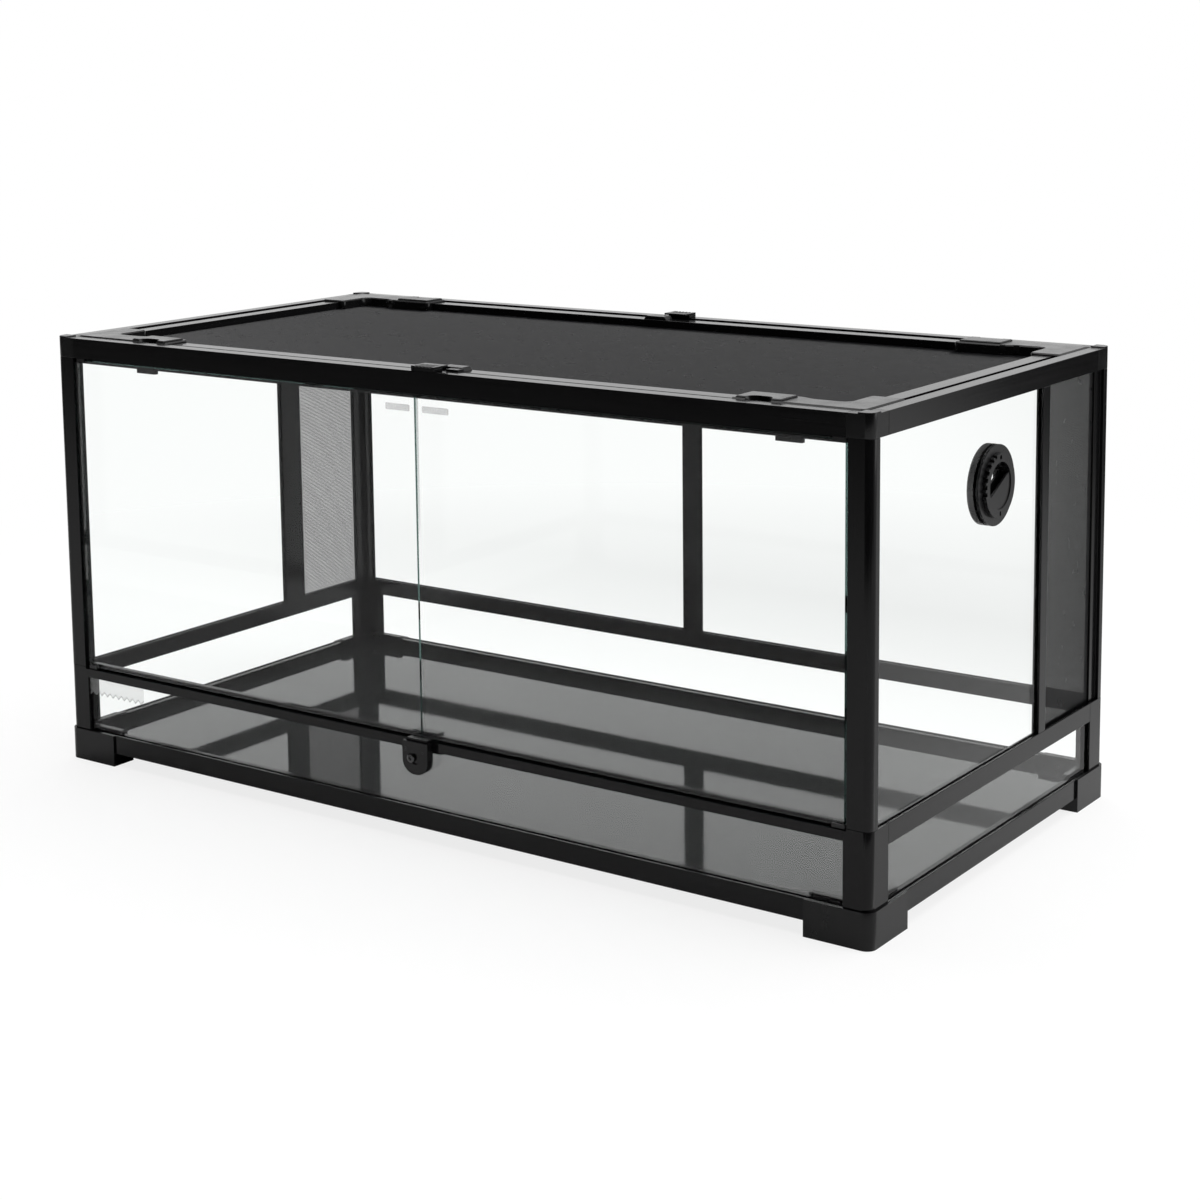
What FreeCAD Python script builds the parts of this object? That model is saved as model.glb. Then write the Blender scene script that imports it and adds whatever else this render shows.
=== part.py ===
# Front-opening glass terrarium: a knock-down box of black rails and posts that hold clear
# panes, with two hinged glass doors, a lift-off mesh top and a cable port in the right pane.
# Millimetres, +Z up, front towards -Y, origin on the ground under the middle of the frame.
import FreeCAD, Part
import os
from types import SimpleNamespace

import Sketcher
from FreeCAD import Vector

doc = FreeCAD.newDocument("glass_terrarium")
sheet = doc.addObject("Spreadsheet::Sheet", "Sizes")

# Driving sizes: name, millimetres, what it measures
SIZES = [
    ("body_width", 914, "frame, left face to right face"),
    ("body_depth", 457, "frame, front face to back face"),
    ("frame_height", 417, "underside of the base rails to the top of the top rails"),
    ("foot_drop", 13, "feet below the base rails"),
    ("foot_proud", 2, "feet outside the frame faces"),
    ("foot_arm", 60, "length of a foot along each rail"),
    ("foot_core", 24, "square core of a foot that the base rails meet"),
    ("lip_reach", 15, "inner edge of the clamping lip of a foot, from the frame face"),
    ("lip_tall", 3, "clamping lip above the base rails"),
    ("spigot_long", 28, "plug of a corner piece inside a rail"),
    ("spigot_clear", 0.3, "gap round a plug"),
    ("corner_round", 7, "rounding of the upright outer corners"),
    ("glass", 4, "pane thickness"),
    ("glass_clear", 0.2, "gap between a pane and its groove"),
    ("groove_set", 2.5, "outer wall of every pane groove"),
    ("inner_wall", 2, "inner wall of every pane groove"),
    ("chamber_wall", 2, "wall of the hollow rails"),
    ("base_tall", 18.5, "base rail height"),
    ("base_deep", 24, "base rail depth"),
    ("base_groove", 6, "pane groove depth in a base rail"),
    ("base_chamber", 8.5, "height of the hollow in a base rail"),
    ("floor_thick", 5, "floor panel thickness"),
    ("floor_sunk", 9.5, "floor panel below the tops of the base rails"),
    ("floor_set", 12, "floor panel edge from the frame face"),
    ("floor_clear", 0.5, "gap at the floor panel edge"),
    ("leg_front", 25, "lower post along the front and back"),
    ("leg_side", 30, "lower post along the sides"),
    ("leg_groove", 8, "pane groove depth in a lower post"),
    ("mid_top", 84, "top of the middle rails above the base rails' underside"),
    ("mid_tall", 17.5, "middle rail height"),
    ("mid_groove", 5, "pane groove depth in a middle rail"),
    ("sill_low", 73.5, "underside of the door sill above the base rails' underside"),
    ("sill_lip", 82, "top of the sill's front lip"),
    ("sill_floor", 80.5, "floor of the sill's drip channel"),
    ("sill_stop", 86.5, "top of the sill's inner strip"),
    ("sill_groove", 3.5, "pane groove depth in the sill"),
    ("sill_lip_thick", 2.2, "thickness of the sill's front lip"),
    ("stop_set", 8.3, "door stop behind the frame's front face"),
    ("post_front", 22, "upper front post along the front"),
    ("post_wide", 14, "upper back post along the back"),
    ("post_deep", 12.5, "upper posts along the sides"),
    ("post_groove", 6, "pane groove depth in an upper post"),
    ("flange_set", 3.5, "recess of the back posts' vent flange from the side face"),
    ("flange_end", 26, "end of the vent flange from the back face"),
    ("vent_wide", 90.5, "open width of a side vent, seen from inside"),
    ("vent_bar", 28, "width of a vent bar"),
    ("vent_lap", 14, "inner flange of a vent bar behind its outer lip"),
    ("bar_wide", 20, "width of the back middle post"),
    ("mesh_thick", 0.8, "thickness of the woven mesh"),
    ("mesh_clear", 0.2, "gap between the mesh and its slot"),
    ("mesh_slot", 5, "depth of a mesh slot"),
    ("top_tall", 19.5, "top rail height"),
    ("top_wide", 13.5, "top rail width"),
    ("top_chamber", 7, "height of the hollow under the top face of a top rail"),
    ("top_groove", 6, "pane groove depth in a top rail"),
    ("ledge_wide", 12.5, "ledge that carries the mesh top"),
    ("ledge_thick", 2.5, "thickness of that ledge"),
    ("ledge_drop", 11, "ledge below the top of the rails"),
    ("stop_drop", 6, "door stop strip below the front top rail"),
    ("joiner_front", 24, "top corner piece along the front and back"),
    ("joiner_cap", 1.2, "raised cap of a top corner piece"),
    ("door_gap", 2, "gap between the two doors"),
    ("door_bottom", 84.5, "lower edge of the doors above the base rails' underside"),
    ("door_top_gap", 2.8, "gap over the door panes"),
    ("pivot_in", 26.3, "door pivot from the frame's side face"),
    ("pivot_edge", 1, "pane edge outside the pivot"),
    ("shoe_wall", 0.8, "cheek of a pivot shoe"),
    ("shoe_clear", 0.1, "gap between a pane and its pivot shoe"),
    ("shoe_long", 10, "pivot shoe along the pane"),
    ("shoe_floor", 2.2, "end wall of a pivot shoe"),
    ("shoe_grip", 1.6, "pane held inside a pivot shoe"),
    ("pin_round", 3, "pivot pin diameter"),
    ("pin_clear", 0.05, "running gap round a pivot pin"),
    ("pin_long", 4.8, "pivot pin below its shoe"),
    ("lock_wide", 29, "lock plate width"),
    ("lock_low", 52, "lowest point of the lock plate above the base rails' underside"),
    ("lock_proud", 8, "lock plate in front of the frame"),
    ("lock_round", 13, "rounded lower corners of the lock plate"),
    ("lock_screw", 10, "screw seat diameter in the lock plate"),
    ("lock_screw_up", 14.5, "screw above the lowest point of the lock plate"),
    ("tongue_wide", 24, "locking tongue width"),
    ("tongue_thick", 3, "locking tongue stem thickness"),
    ("tongue_front", 5, "front of the tongue stem before the frame face"),
    ("tongue_stem", 16, "tongue stem inside the lock plate"),
    ("tongue_head", 2, "height of the tongue's nose"),
    ("tongue_clear", 0.3, "gap round the tongue"),
    ("hook_thick", 4, "rear clamp of the lock"),
    ("hook_low", 67, "lower end of the rear clamp above the base rails' underside"),
    ("hook_cap", 1.7, "thickness of the clamp over the sill's inner strip"),
    ("screen_gap", 1, "gap between the mesh top and the top rails"),
    ("screen_low", 1, "mesh top bars below the rail tops"),
    ("screen_set", 21.5, "mesh top bars from the frame face"),
    ("screen_bar", 16, "mesh top bar width"),
    ("screen_wall", 2, "wall of a mesh top bar"),
    ("screen_chamber", 7.5, "width of the hollow in a mesh top bar"),
    ("mesh_up", 2, "middle of the mesh above the underside of the bars"),
    ("wing_long", 137, "mesh top corner piece along the front, from the side face"),
    ("wing_short", 80, "mesh top corner piece along the side, from the front face"),
    ("wing_inner", 41, "inner edge of its long arm from the frame face"),
    ("wing_side", 44, "inner edge of its short arm from the side face"),
    ("wing_bulge", 46, "inner edge of the thumb pad on the long arm"),
    ("wing_pad", 50, "length of the thumb pad"),
    ("wing_ramp", 12, "length of the slope up to the thumb pad"),
    ("wing_round", 14, "rounding of that slope"),
    ("wing_corner", 4, "rounding of the arm ends"),
    ("wing_rise", 2, "corner piece above the bars"),
    ("wing_soft", 1.2, "slope along its top edge"),
    ("thumb_rise", 1.6, "thumb pad above the corner piece"),
    ("thumb_long", 24, "thumb scoop length"),
    ("thumb_wide", 16, "width of the round cutter of the scoop"),
    ("thumb_set", 1.5, "middle line of the scoop inside the outer edge"),
    ("thumb_deep", 6, "thumb scoop depth"),
    ("grid_set", 52, "open field of the mesh from the frame face"),
    ("grid_bar", 4, "strips left between the openings of the mesh"),
    ("tab_set", 80, "hanging tab from the side face"),
    ("tab_long", 25, "hanging tab length"),
    ("tab_thick", 4.5, "hanging tab thickness"),
    ("tab_space", 5, "hanging tab inside the ledge"),
    ("tab_drop", 34, "lower end of the tab below the rail tops"),
    ("latch_long", 26, "screen latch slider length"),
    ("latch_tall", 4.6, "screen latch above the rail"),
    ("latch_edge", 0.7, "slider inside the rail's edges"),
    ("latch_at", 11, "middle of the slider beside the middle of the rail"),
    ("latch_travel", 13, "slider travel"),
    ("latch_lip", 7, "overhang of the slider over the gap"),
    ("latch_lip_thick", 1.8, "thickness of that overhang"),
    ("latch_rib", 2, "spacing between the slider's finger ribs"),
    ("latch_rib_deep", 0.8, "depth of the grooves between the ribs"),
    ("stem_long", 8, "slider stem along its slot"),
    ("stem_wide", 3.6, "slider stem across its slot"),
    ("stem_clear", 0.2, "gap round the slider stem"),
    ("stem_foot", 7, "foot of the stem under the rail's top wall"),
    ("stem_foot_thick", 2, "thickness of that foot"),
    ("keeper_long", 28, "keeper block on the mesh top"),
    ("keeper_deep", 12, "keeper block across the bar"),
    ("keeper_tall", 3.6, "keeper block above the bar"),
    ("keeper_ear", 13, "ear of the keeper that the slider covers"),
    ("keeper_ear_tall", 2.8, "thickness of that ear"),
    ("keeper_side", 14.5, "middle of the keeper beside the slider"),
    ("keeper_slope", 3, "slope at the ends of the keeper"),
    ("port_drop", 91, "middle of the cable port below the rail tops"),
    ("port_fore", 9, "middle of the cable port in front of the middle of the depth"),
    ("port_wide", 70, "cable port flange diameter"),
    ("port_bore", 46, "cable port bore"),
    ("port_tube", 2, "wall of the port's tube"),
    ("port_clear", 0.5, "gap between the tube and the pane"),
    ("port_flange", 2.5, "flange thickness"),
    ("port_inside", 12, "tube behind the pane's outer face"),
    ("port_nut", 70, "port nut diameter"),
    ("port_nut_deep", 6, "port nut thickness"),
    ("port_half", 2, "thickness of the port's fixed half plate"),
    ("dial_wide", 56, "turning shutter diameter"),
    ("dial_thick", 3.4, "turning shutter thickness"),
    ("dial_gap", 0.4, "gap between the shutter and the flange"),
    ("dial_hub", 5, "shutter hub inside the bore"),
    ("dial_hub_wall", 2.5, "shutter hub wall"),
    ("dial_clear", 0.1, "running gap round the shutter hub"),
    ("dial_hole", 4, "finger hole in the shutter"),
    ("dial_hole_deep", 2, "finger hole depth"),
    ("dial_plate", 2, "thickness of the shutter's half plate"),
    ("dial_sunk", 1, "half plate below the face of the shutter"),
    ("dial_grip", 3.6, "click notches on the shutter's edge, width"),
    ("dial_grip_deep", 2.4, "depth of those notches"),
    ("dial_hole_out", 24.2, "finger hole and keyway from the middle of the shutter"),
    ("dial_key", 2.6, "keyway width"),
    ("half_space", 0.6, "gap between the two half plates"),
]
PORT_TILT = 117
DIAL_NOTCHES = 7
DIAL_FIRST = 200
DIAL_ARC = 78
MESH_COLUMNS = 8
MESH_ROWS = 4
LATCH_GROOVES = 5


class Dim:
    """A length that carries its number and the sheet formula behind it."""

    def __init__(self, value, text):
        self.value = value
        self.text = text

    def __add__(self, other):
        other = as_dim(other)
        return Dim(self.value + other.value, "(%s + %s)" % (self.text, other.text))

    def __sub__(self, other):
        other = as_dim(other)
        return Dim(self.value - other.value, "(%s - %s)" % (self.text, other.text))

    def __mul__(self, factor):
        return Dim(self.value * factor, "(%s * %s)" % (self.text, factor))

    def __truediv__(self, factor):
        return Dim(self.value / factor, "(%s / %s)" % (self.text, factor))

    def __neg__(self):
        return Dim(-self.value, "(-1 * %s)" % self.text)


def as_dim(value):
    return value if isinstance(value, Dim) else Dim(float(value), str(value))


s = SimpleNamespace()
for row, (alias, number, meaning) in enumerate(SIZES, start=1):
    sheet.set("A%d" % row, alias)
    sheet.set("B%d" % row, str(number))
    sheet.set("C%d" % row, meaning)
    sheet.setAlias("B%d" % row, alias)
    setattr(s, alias, Dim(float(number), "Sizes." + alias))
doc.recompute()

zero = as_dim(0)
subparts = []

# Shared places, all from the sheet
half_width = s.body_width / 2
half_depth = s.body_depth / 2
base_top = s.foot_drop + s.base_tall
mid_level = s.foot_drop + s.mid_top
top_level = s.foot_drop + s.frame_height
top_under = top_level - s.top_tall
groove_out = s.groove_set
groove_in = s.groove_set + s.glass + s.glass_clear * 2
post_thick = groove_in + s.inner_wall
pane_out = s.groove_set + s.glass_clear
pane_mid = pane_out + s.glass / 2
ledge_reach = s.top_wide + s.ledge_wide
joiner_side = ledge_reach
slot_wide = s.mesh_thick + s.mesh_clear * 2
vent_mid = (s.flange_set + post_thick) / 2

SIDES = {
    "front": (zero, -half_depth, 0),
    "right": (half_width, zero, 90),
    "back": (zero, half_depth, 180),
    "left": (-half_width, zero, 270),
}
CORNERS = [
    ("front_left", -half_width, -half_depth),
    ("front_right", half_width, -half_depth),
    ("back_right", half_width, half_depth),
    ("back_left", -half_width, half_depth),
]


# Modelling helpers
def bind(obj, name, dim):
    obj.setExpression(name, as_dim(dim).text)


def place(obj, x, y, z, turn=0, axis=Vector(0, 0, 1)):
    obj.Placement = FreeCAD.Placement(Vector(), FreeCAD.Rotation(axis, turn))
    for letter, dim in zip("xyz", (x, y, z)):
        bind(obj, "Placement.Base." + letter, dim)


def new_body(label, kept=True):
    body = doc.addObject("PartDesign::Body", label)
    body.Label = label
    if kept:
        subparts.append(body)
    return body


def box(label, length, width, height, x, y, z, kept=True):
    solid = doc.addObject("Part::Box", label)
    solid.Label = label
    bind(solid, "Length", length)
    bind(solid, "Width", width)
    bind(solid, "Height", height)
    place(solid, x, y, z)
    if kept:
        subparts.append(solid)
    return solid


def rectangle(x0, y0, x1, y1):
    return [(x0, y0), (x1, y0), (x1, y1), (x0, y1)]


def sketch_on(body, plane, loops=(), circles=(), lift=None):
    """A sketch on an origin plane; loops are corner lists, circles are (x, y, diameter)."""
    sketch = body.newObject("Sketcher::SketchObject", body.Name + "_sketch")
    support = [item for item in body.Origin.OriginFeatures if item.Role == plane][0]
    sketch.AttachmentSupport = [(support, "")]
    sketch.MapMode = "FlatFace"
    if lift is not None:
        bind(sketch, "AttachmentOffset.Base.z", lift)
    for loop in loops:
        add_loop(sketch, [(as_dim(x), as_dim(y)) for x, y in loop])
    for x, y, diameter in circles:
        add_circle(sketch, as_dim(x), as_dim(y), diameter)
    return sketch


def add_loop(sketch, points):
    first = sketch.GeometryCount
    count = len(points)
    corners = [Vector(x.value, y.value, 0) for x, y in points]
    lines = [Part.LineSegment(corners[i], corners[(i + 1) % count]) for i in range(count)]
    sketch.addGeometry(lines, False)
    joins = [Sketcher.Constraint("Coincident", first + i, 2, first + (i + 1) % count, 1)
             for i in range(count)]
    sketch.addConstraint(joins)
    for i, (x, y) in enumerate(points):
        fix_point(sketch, first + i, 1, x, y)


def add_circle(sketch, x, y, diameter):
    curve = sketch.GeometryCount
    sketch.addGeometry(Part.Circle(Vector(x.value, y.value, 0), Vector(0, 0, 1), diameter.value / 2), False)
    fix_point(sketch, curve, 3, x, y)
    number = sketch.addConstraint(Sketcher.Constraint("Diameter", curve, diameter.value))
    bind(sketch, "Constraints[%d]" % number, diameter)


def add_slot(sketch, x0, x1, y, width):
    """A round-ended slot along the sketch's first axis between two end centres."""
    first = sketch.GeometryCount
    radius = width.value / 2
    up = Vector(0, radius, 0)
    left = Vector(x0.value, y.value, 0)
    right = Vector(x1.value, y.value, 0)
    half = Part.Circle(left, Vector(0, 0, 1), radius)
    other = Part.Circle(right, Vector(0, 0, 1), radius)
    quarter = 1.5707963267948966
    sketch.addGeometry([
        Part.ArcOfCircle(half, quarter, 3 * quarter),
        Part.LineSegment(left - up, right - up),
        Part.ArcOfCircle(other, -quarter, quarter),
        Part.LineSegment(right + up, left + up),
    ], False)
    sketch.addConstraint([
        Sketcher.Constraint("Tangent", first, 2, first + 1, 1),
        Sketcher.Constraint("Tangent", first + 1, 2, first + 2, 1),
        Sketcher.Constraint("Tangent", first + 2, 2, first + 3, 1),
        Sketcher.Constraint("Tangent", first + 3, 2, first, 1),
    ])
    fix_point(sketch, first, 3, x0, y)
    fix_point(sketch, first + 2, 3, x1, y)
    number = sketch.addConstraint(Sketcher.Constraint("Diameter", first, width.value))
    bind(sketch, "Constraints[%d]" % number, width)


def fix_point(sketch, curve, end, x, y):
    for kind, dim in (("DistanceX", x), ("DistanceY", y)):
        number = sketch.addConstraint(Sketcher.Constraint(kind, -1, 1, curve, end, dim.value))
        bind(sketch, "Constraints[%d]" % number, dim)


def pad(body, sketch, length, symmetric=False, reverse=False):
    feature = body.newObject("PartDesign::Pad", body.Name + "_pad")
    feature.Profile = sketch
    feature.SideType = "Symmetric" if symmetric else "One side"
    feature.Reversed = reverse
    bind(feature, "Length", length)
    return feature


def pocket(body, sketch, length, symmetric=False, reverse=False):
    feature = body.newObject("PartDesign::Pocket", body.Name + "_pocket")
    feature.Profile = sketch
    feature.SideType = "Symmetric" if symmetric else "One side"
    feature.Reversed = reverse
    bind(feature, "Length", length)
    return feature


def fillet_upright(body, base, spots):
    """Round the upright edges that stand at the given plan points; spots are (x, y, radius)."""
    for x, y, radius in spots:
        doc.recompute()
        names = []
        for number, edge in enumerate(base.Shape.Edges, start=1):
            ends = [vertex.Point for vertex in edge.Vertexes]
            if len(ends) == 2 and all(abs(p.x - as_dim(x).value) < 0.01 for p in ends):
                if all(abs(p.y - as_dim(y).value) < 0.01 for p in ends):
                    names.append("Edge%d" % number)
        feature = body.newObject("PartDesign::Fillet", body.Name + "_fillet")
        feature.Base = (base, names)
        bind(feature, "Radius", radius)
        base = feature
    return base


def slope_top(body, base, level, size):
    """Slope off every edge of the top face, which lies at the given level."""
    doc.recompute()
    names = []
    for number, edge in enumerate(base.Shape.Edges, start=1):
        if edge.BoundBox.ZMin > as_dim(level).value - 0.01:
            names.append("Edge%d" % number)
    feature = body.newObject("PartDesign::Chamfer", body.Name + "_slope")
    feature.Base = (base, names)
    bind(feature, "Size", size)
    return feature


def turned(points, corner):
    """Plan points of a corner piece: every other corner has its two legs exchanged."""
    if corner % 2 == 0:
        return list(points)
    return [(y, x) for x, y in reversed(points)]


def place_corner(body, corner, z):
    name, x, y = CORNERS[corner]
    place(body, x, y, z, 90 * corner)


def place_side(body, side, z):
    x, y, turn = SIDES[side]
    place(body, x, y, z, turn)


def rail(label, loops, length, side, z, kept=True):
    """A straight rail: its section runs inwards from the frame face and is drawn out lengthways."""
    body = new_body(label, kept)
    pad(body, sketch_on(body, "YZ_Plane", loops), length, symmetric=True)
    place_side(body, side, z)
    return body


def group(label, members):
    compound = doc.addObject("Part::Compound", label)
    compound.Label = label
    compound.Links = members
    subparts.append(compound)
    return compound


# Base rails: hollow, with a pane groove and a ledge for the floor panel
floor_ledge = s.base_tall - s.floor_thick - s.floor_sunk
base_section = [
    (zero, zero), (s.base_deep, zero), (s.base_deep, floor_ledge), (s.floor_set, floor_ledge),
    (s.floor_set, s.base_tall), (groove_in, s.base_tall), (groove_in, s.base_tall - s.base_groove),
    (groove_out, s.base_tall - s.base_groove), (groove_out, s.base_tall), (zero, s.base_tall),
]
base_hollow = rectangle(s.chamber_wall, s.chamber_wall, s.floor_set - s.chamber_wall,
                        s.chamber_wall + s.base_chamber)
RAIL_RUN = {"front": s.body_width, "back": s.body_width, "left": s.body_depth, "right": s.body_depth}
for side, run in RAIL_RUN.items():
    rail("base_rail_" + side, [base_section, base_hollow], run - s.foot_core * 2, side, s.foot_drop)

# Corner feet: an angle under and outside the rails, plugs inside them, a lip and a cheek that clamp the floor panel
for corner, (corner_name, corner_x, corner_y) in enumerate(CORNERS):
    foot = new_body("corner_foot_" + corner_name)
    proud = -s.foot_proud
    sole = [(proud, proud), (s.foot_arm, proud), (s.foot_arm, s.base_deep), (s.base_deep, s.base_deep),
            (s.base_deep, s.foot_arm), (proud, s.foot_arm)]
    pad(foot, sketch_on(foot, "XY_Plane", [sole]), s.foot_drop)
    skirt = [(proud, proud), (s.foot_arm, proud), (s.foot_arm, zero), (zero, zero),
             (zero, s.foot_arm), (proud, s.foot_arm)]
    pad(foot, sketch_on(foot, "XY_Plane", [skirt], lift=s.foot_drop), s.base_tall)
    core = rectangle(zero, zero, s.foot_core, s.foot_core)
    pad(foot, sketch_on(foot, "XY_Plane", [core], lift=s.foot_drop), floor_ledge)
    ring = [(zero, zero), (s.foot_core, zero), (s.foot_core, s.floor_set), (s.floor_set, s.floor_set),
            (s.floor_set, s.foot_core), (zero, s.foot_core)]
    pad(foot, sketch_on(foot, "XY_Plane", [ring], lift=s.foot_drop + floor_ledge), s.base_tall - floor_ledge)
    lip_out = post_thick + s.spigot_clear
    lip = [(lip_out, lip_out), (s.foot_arm, lip_out), (s.foot_arm, s.lip_reach), (s.lip_reach, s.lip_reach),
           (s.lip_reach, s.foot_arm), (lip_out, s.foot_arm)]
    pad(foot, sketch_on(foot, "XY_Plane", [lip], lift=base_top), s.lip_tall)
    cheek_out = s.floor_set + s.spigot_clear
    cheek = [(cheek_out, cheek_out), (s.foot_arm, cheek_out), (s.foot_arm, s.lip_reach), (s.lip_reach, s.lip_reach),
             (s.lip_reach, s.foot_arm), (cheek_out, s.foot_arm)]
    cheek_foot = s.foot_drop + floor_ledge + s.floor_thick + s.spigot_clear
    pad(foot, sketch_on(foot, "XY_Plane", [cheek], lift=cheek_foot), base_top - cheek_foot)
    plug_out = s.chamber_wall + s.spigot_clear
    plug_in = s.floor_set - s.chamber_wall - s.spigot_clear
    plug_end = s.foot_core + s.spigot_long
    plugs = [rectangle(s.foot_core, plug_out, plug_end, plug_in),
             rectangle(plug_out, s.foot_core, plug_in, plug_end)]
    plug_low = s.foot_drop + s.chamber_wall + s.spigot_clear
    pad(foot, sketch_on(foot, "XY_Plane", plugs, lift=plug_low), s.base_chamber - s.spigot_clear * 2)
    pane_ends = [rectangle(s.leg_front - s.leg_groove, groove_out, s.foot_core, groove_in),
                 rectangle(groove_out, s.leg_side - s.leg_groove, groove_in, s.foot_core)]
    pane_ends = [turned(loop, corner) for loop in pane_ends]
    tip = pocket(foot, sketch_on(foot, "XY_Plane", pane_ends, lift=base_top), s.base_groove)
    fillet_upright(foot, tip, [(proud, proud, s.corner_round + s.foot_proud)])
    place_corner(foot, corner, zero)

# Floor panel on the ledges of the base rails
floor_edge = s.floor_set + s.floor_clear
box("floor_panel", s.body_width - floor_edge * 2, s.body_depth - floor_edge * 2, s.floor_thick,
    floor_edge - half_width, floor_edge - half_depth, s.foot_drop + floor_ledge)

# Lower posts: rounded angles with a pane groove in the end of each leg and seats for the upper panes on top
back_cut = s.post_wide - s.post_groove
for corner, (corner_name, corner_x, corner_y) in enumerate(CORNERS):
    post = new_body("lower_post_" + corner_name)
    front_cut = s.leg_front - s.leg_groove
    side_cut = s.leg_side - s.leg_groove
    angle = [
        (zero, zero), (s.leg_front, zero), (s.leg_front, groove_out), (front_cut, groove_out),
        (front_cut, groove_in), (s.leg_front, groove_in), (s.leg_front, post_thick),
        (post_thick, post_thick), (post_thick, s.leg_side), (groove_in, s.leg_side),
        (groove_in, side_cut), (groove_out, side_cut), (groove_out, s.leg_side), (zero, s.leg_side),
    ]
    post_tall = mid_level - base_top
    pad(post, sketch_on(post, "XY_Plane", [turned(angle, corner)]), post_tall)
    seats = [rectangle(groove_out, s.post_deep - s.post_groove, groove_in, s.leg_side)]
    if corner_name.startswith("back"):
        seats.append(rectangle(back_cut, groove_out, s.leg_front, groove_in))
    seats = [turned(loop, corner) for loop in seats]
    tip = pocket(post, sketch_on(post, "XY_Plane", seats, lift=post_tall), s.mid_groove)
    if corner_name.startswith("front"):
        shoe_room = rectangle(s.post_front, zero, s.leg_front, s.stop_set)
        room_sketch = sketch_on(post, "XY_Plane", [turned(shoe_room, corner)], lift=post_tall)
        tip = pocket(post, room_sketch, s.mid_top - s.sill_lip)
    fillet_upright(post, tip, [(zero, zero, s.corner_round)])
    place_corner(post, corner, base_top)

# Middle rails on the sides and back: a groove above and a groove below
mid_section = [
    (zero, zero), (groove_out, zero), (groove_out, s.mid_groove), (groove_in, s.mid_groove),
    (groove_in, zero), (post_thick, zero), (post_thick, s.mid_tall), (groove_in, s.mid_tall),
    (groove_in, s.mid_tall - s.mid_groove), (groove_out, s.mid_tall - s.mid_groove),
    (groove_out, s.mid_tall), (zero, s.mid_tall),
]
MID_RUN = {"left": s.body_depth - s.leg_side * 2, "right": s.body_depth - s.leg_side * 2,
           "back": s.body_width - s.leg_front * 2}
for side, run in MID_RUN.items():
    rail("middle_rail_" + side, [mid_section], run, side, mid_level - s.mid_tall)

# Door sill: front lip, drip channel with the pivot holes, inner strip that the doors close against
sill_section = [
    (zero, s.sill_low), (groove_out, s.sill_low), (groove_out, s.sill_low + s.sill_groove),
    (groove_in, s.sill_low + s.sill_groove), (groove_in, s.sill_low), (s.top_wide, s.sill_low),
    (s.top_wide, s.sill_stop), (s.stop_set, s.sill_stop), (s.stop_set, s.sill_floor),
    (s.sill_lip_thick, s.sill_floor), (s.sill_lip_thick, s.sill_lip), (zero, s.sill_lip),
]
sill = rail("door_sill", [sill_section], s.body_width - s.leg_front * 2, "front", s.foot_drop)
pivot_x = half_width - s.pivot_in
pin_hole = s.pin_round + s.pin_clear * 2
pivot_holes = [(-pivot_x, pane_mid, pin_hole), (pivot_x, pane_mid, pin_hole)]
pocket(sill, sketch_on(sill, "XY_Plane", circles=pivot_holes, lift=s.sill_floor),
       s.sill_floor - s.sill_low - s.sill_groove)

# Lower panes, standing in the base rails and closed in by the posts, the rails above and the sill
lower_foot = base_top - s.base_groove + s.glass_clear
lower_head = mid_level - s.mid_tall + s.mid_groove - s.glass_clear
sill_head = s.foot_drop + s.sill_low + s.sill_groove - s.glass_clear
wide_set = s.leg_front - s.leg_groove + s.glass_clear
deep_set = s.leg_side - s.leg_groove + s.glass_clear
wide_run = s.body_width - wide_set * 2
deep_run = s.body_depth - deep_set * 2
box("lower_pane_front", wide_run, s.glass, sill_head - lower_foot,
    wide_set - half_width, pane_out - half_depth, lower_foot)
box("lower_pane_back", wide_run, s.glass, lower_head - lower_foot,
    wide_set - half_width, half_depth - pane_out - s.glass, lower_foot)
lower_sides = []
for side, pane_x in (("left", pane_out - half_width), ("right", half_width - pane_out - s.glass)):
    lower_sides.append(box("lower_pane_" + side, s.glass, deep_run, lower_head - lower_foot,
                           pane_x, deep_set - half_depth, lower_foot, kept=False))
group("lower_panes_side", lower_sides)

# Upper posts: the front pair has a rebate for the door pivots, the back pair a vent flange
upper_tall = top_under - mid_level
groove_root = s.post_deep - s.post_groove
front_post = [
    (zero, zero), (s.post_front, zero), (s.post_front, s.stop_set), (s.joiner_front, s.stop_set),
    (s.joiner_front, s.post_deep), (groove_in, s.post_deep), (groove_in, groove_root),
    (groove_out, groove_root), (groove_out, s.post_deep), (zero, s.post_deep),
]
slot_out = vent_mid - slot_wide / 2
slot_in = vent_mid + slot_wide / 2
back_post = [
    (zero, zero), (s.post_wide, zero), (s.post_wide, groove_out), (back_cut, groove_out),
    (back_cut, groove_in), (s.post_wide, groove_in), (s.post_wide, s.post_deep),
    (post_thick, s.post_deep), (post_thick, s.flange_end), (slot_in, s.flange_end),
    (slot_in, s.flange_end - s.mesh_slot), (slot_out, s.flange_end - s.mesh_slot),
    (slot_out, s.flange_end), (s.flange_set, s.flange_end), (s.flange_set, s.post_deep),
    (zero, s.post_deep),
]
for corner, (corner_name, corner_x, corner_y) in enumerate(CORNERS):
    post = new_body("upper_post_" + corner_name)
    section = front_post if corner_name.startswith("front") else back_post
    tip = pad(post, sketch_on(post, "XY_Plane", [turned(section, corner)]), upper_tall)
    fillet_upright(post, tip, [(zero, zero, s.corner_round)])
    place_corner(post, corner, mid_level)

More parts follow.
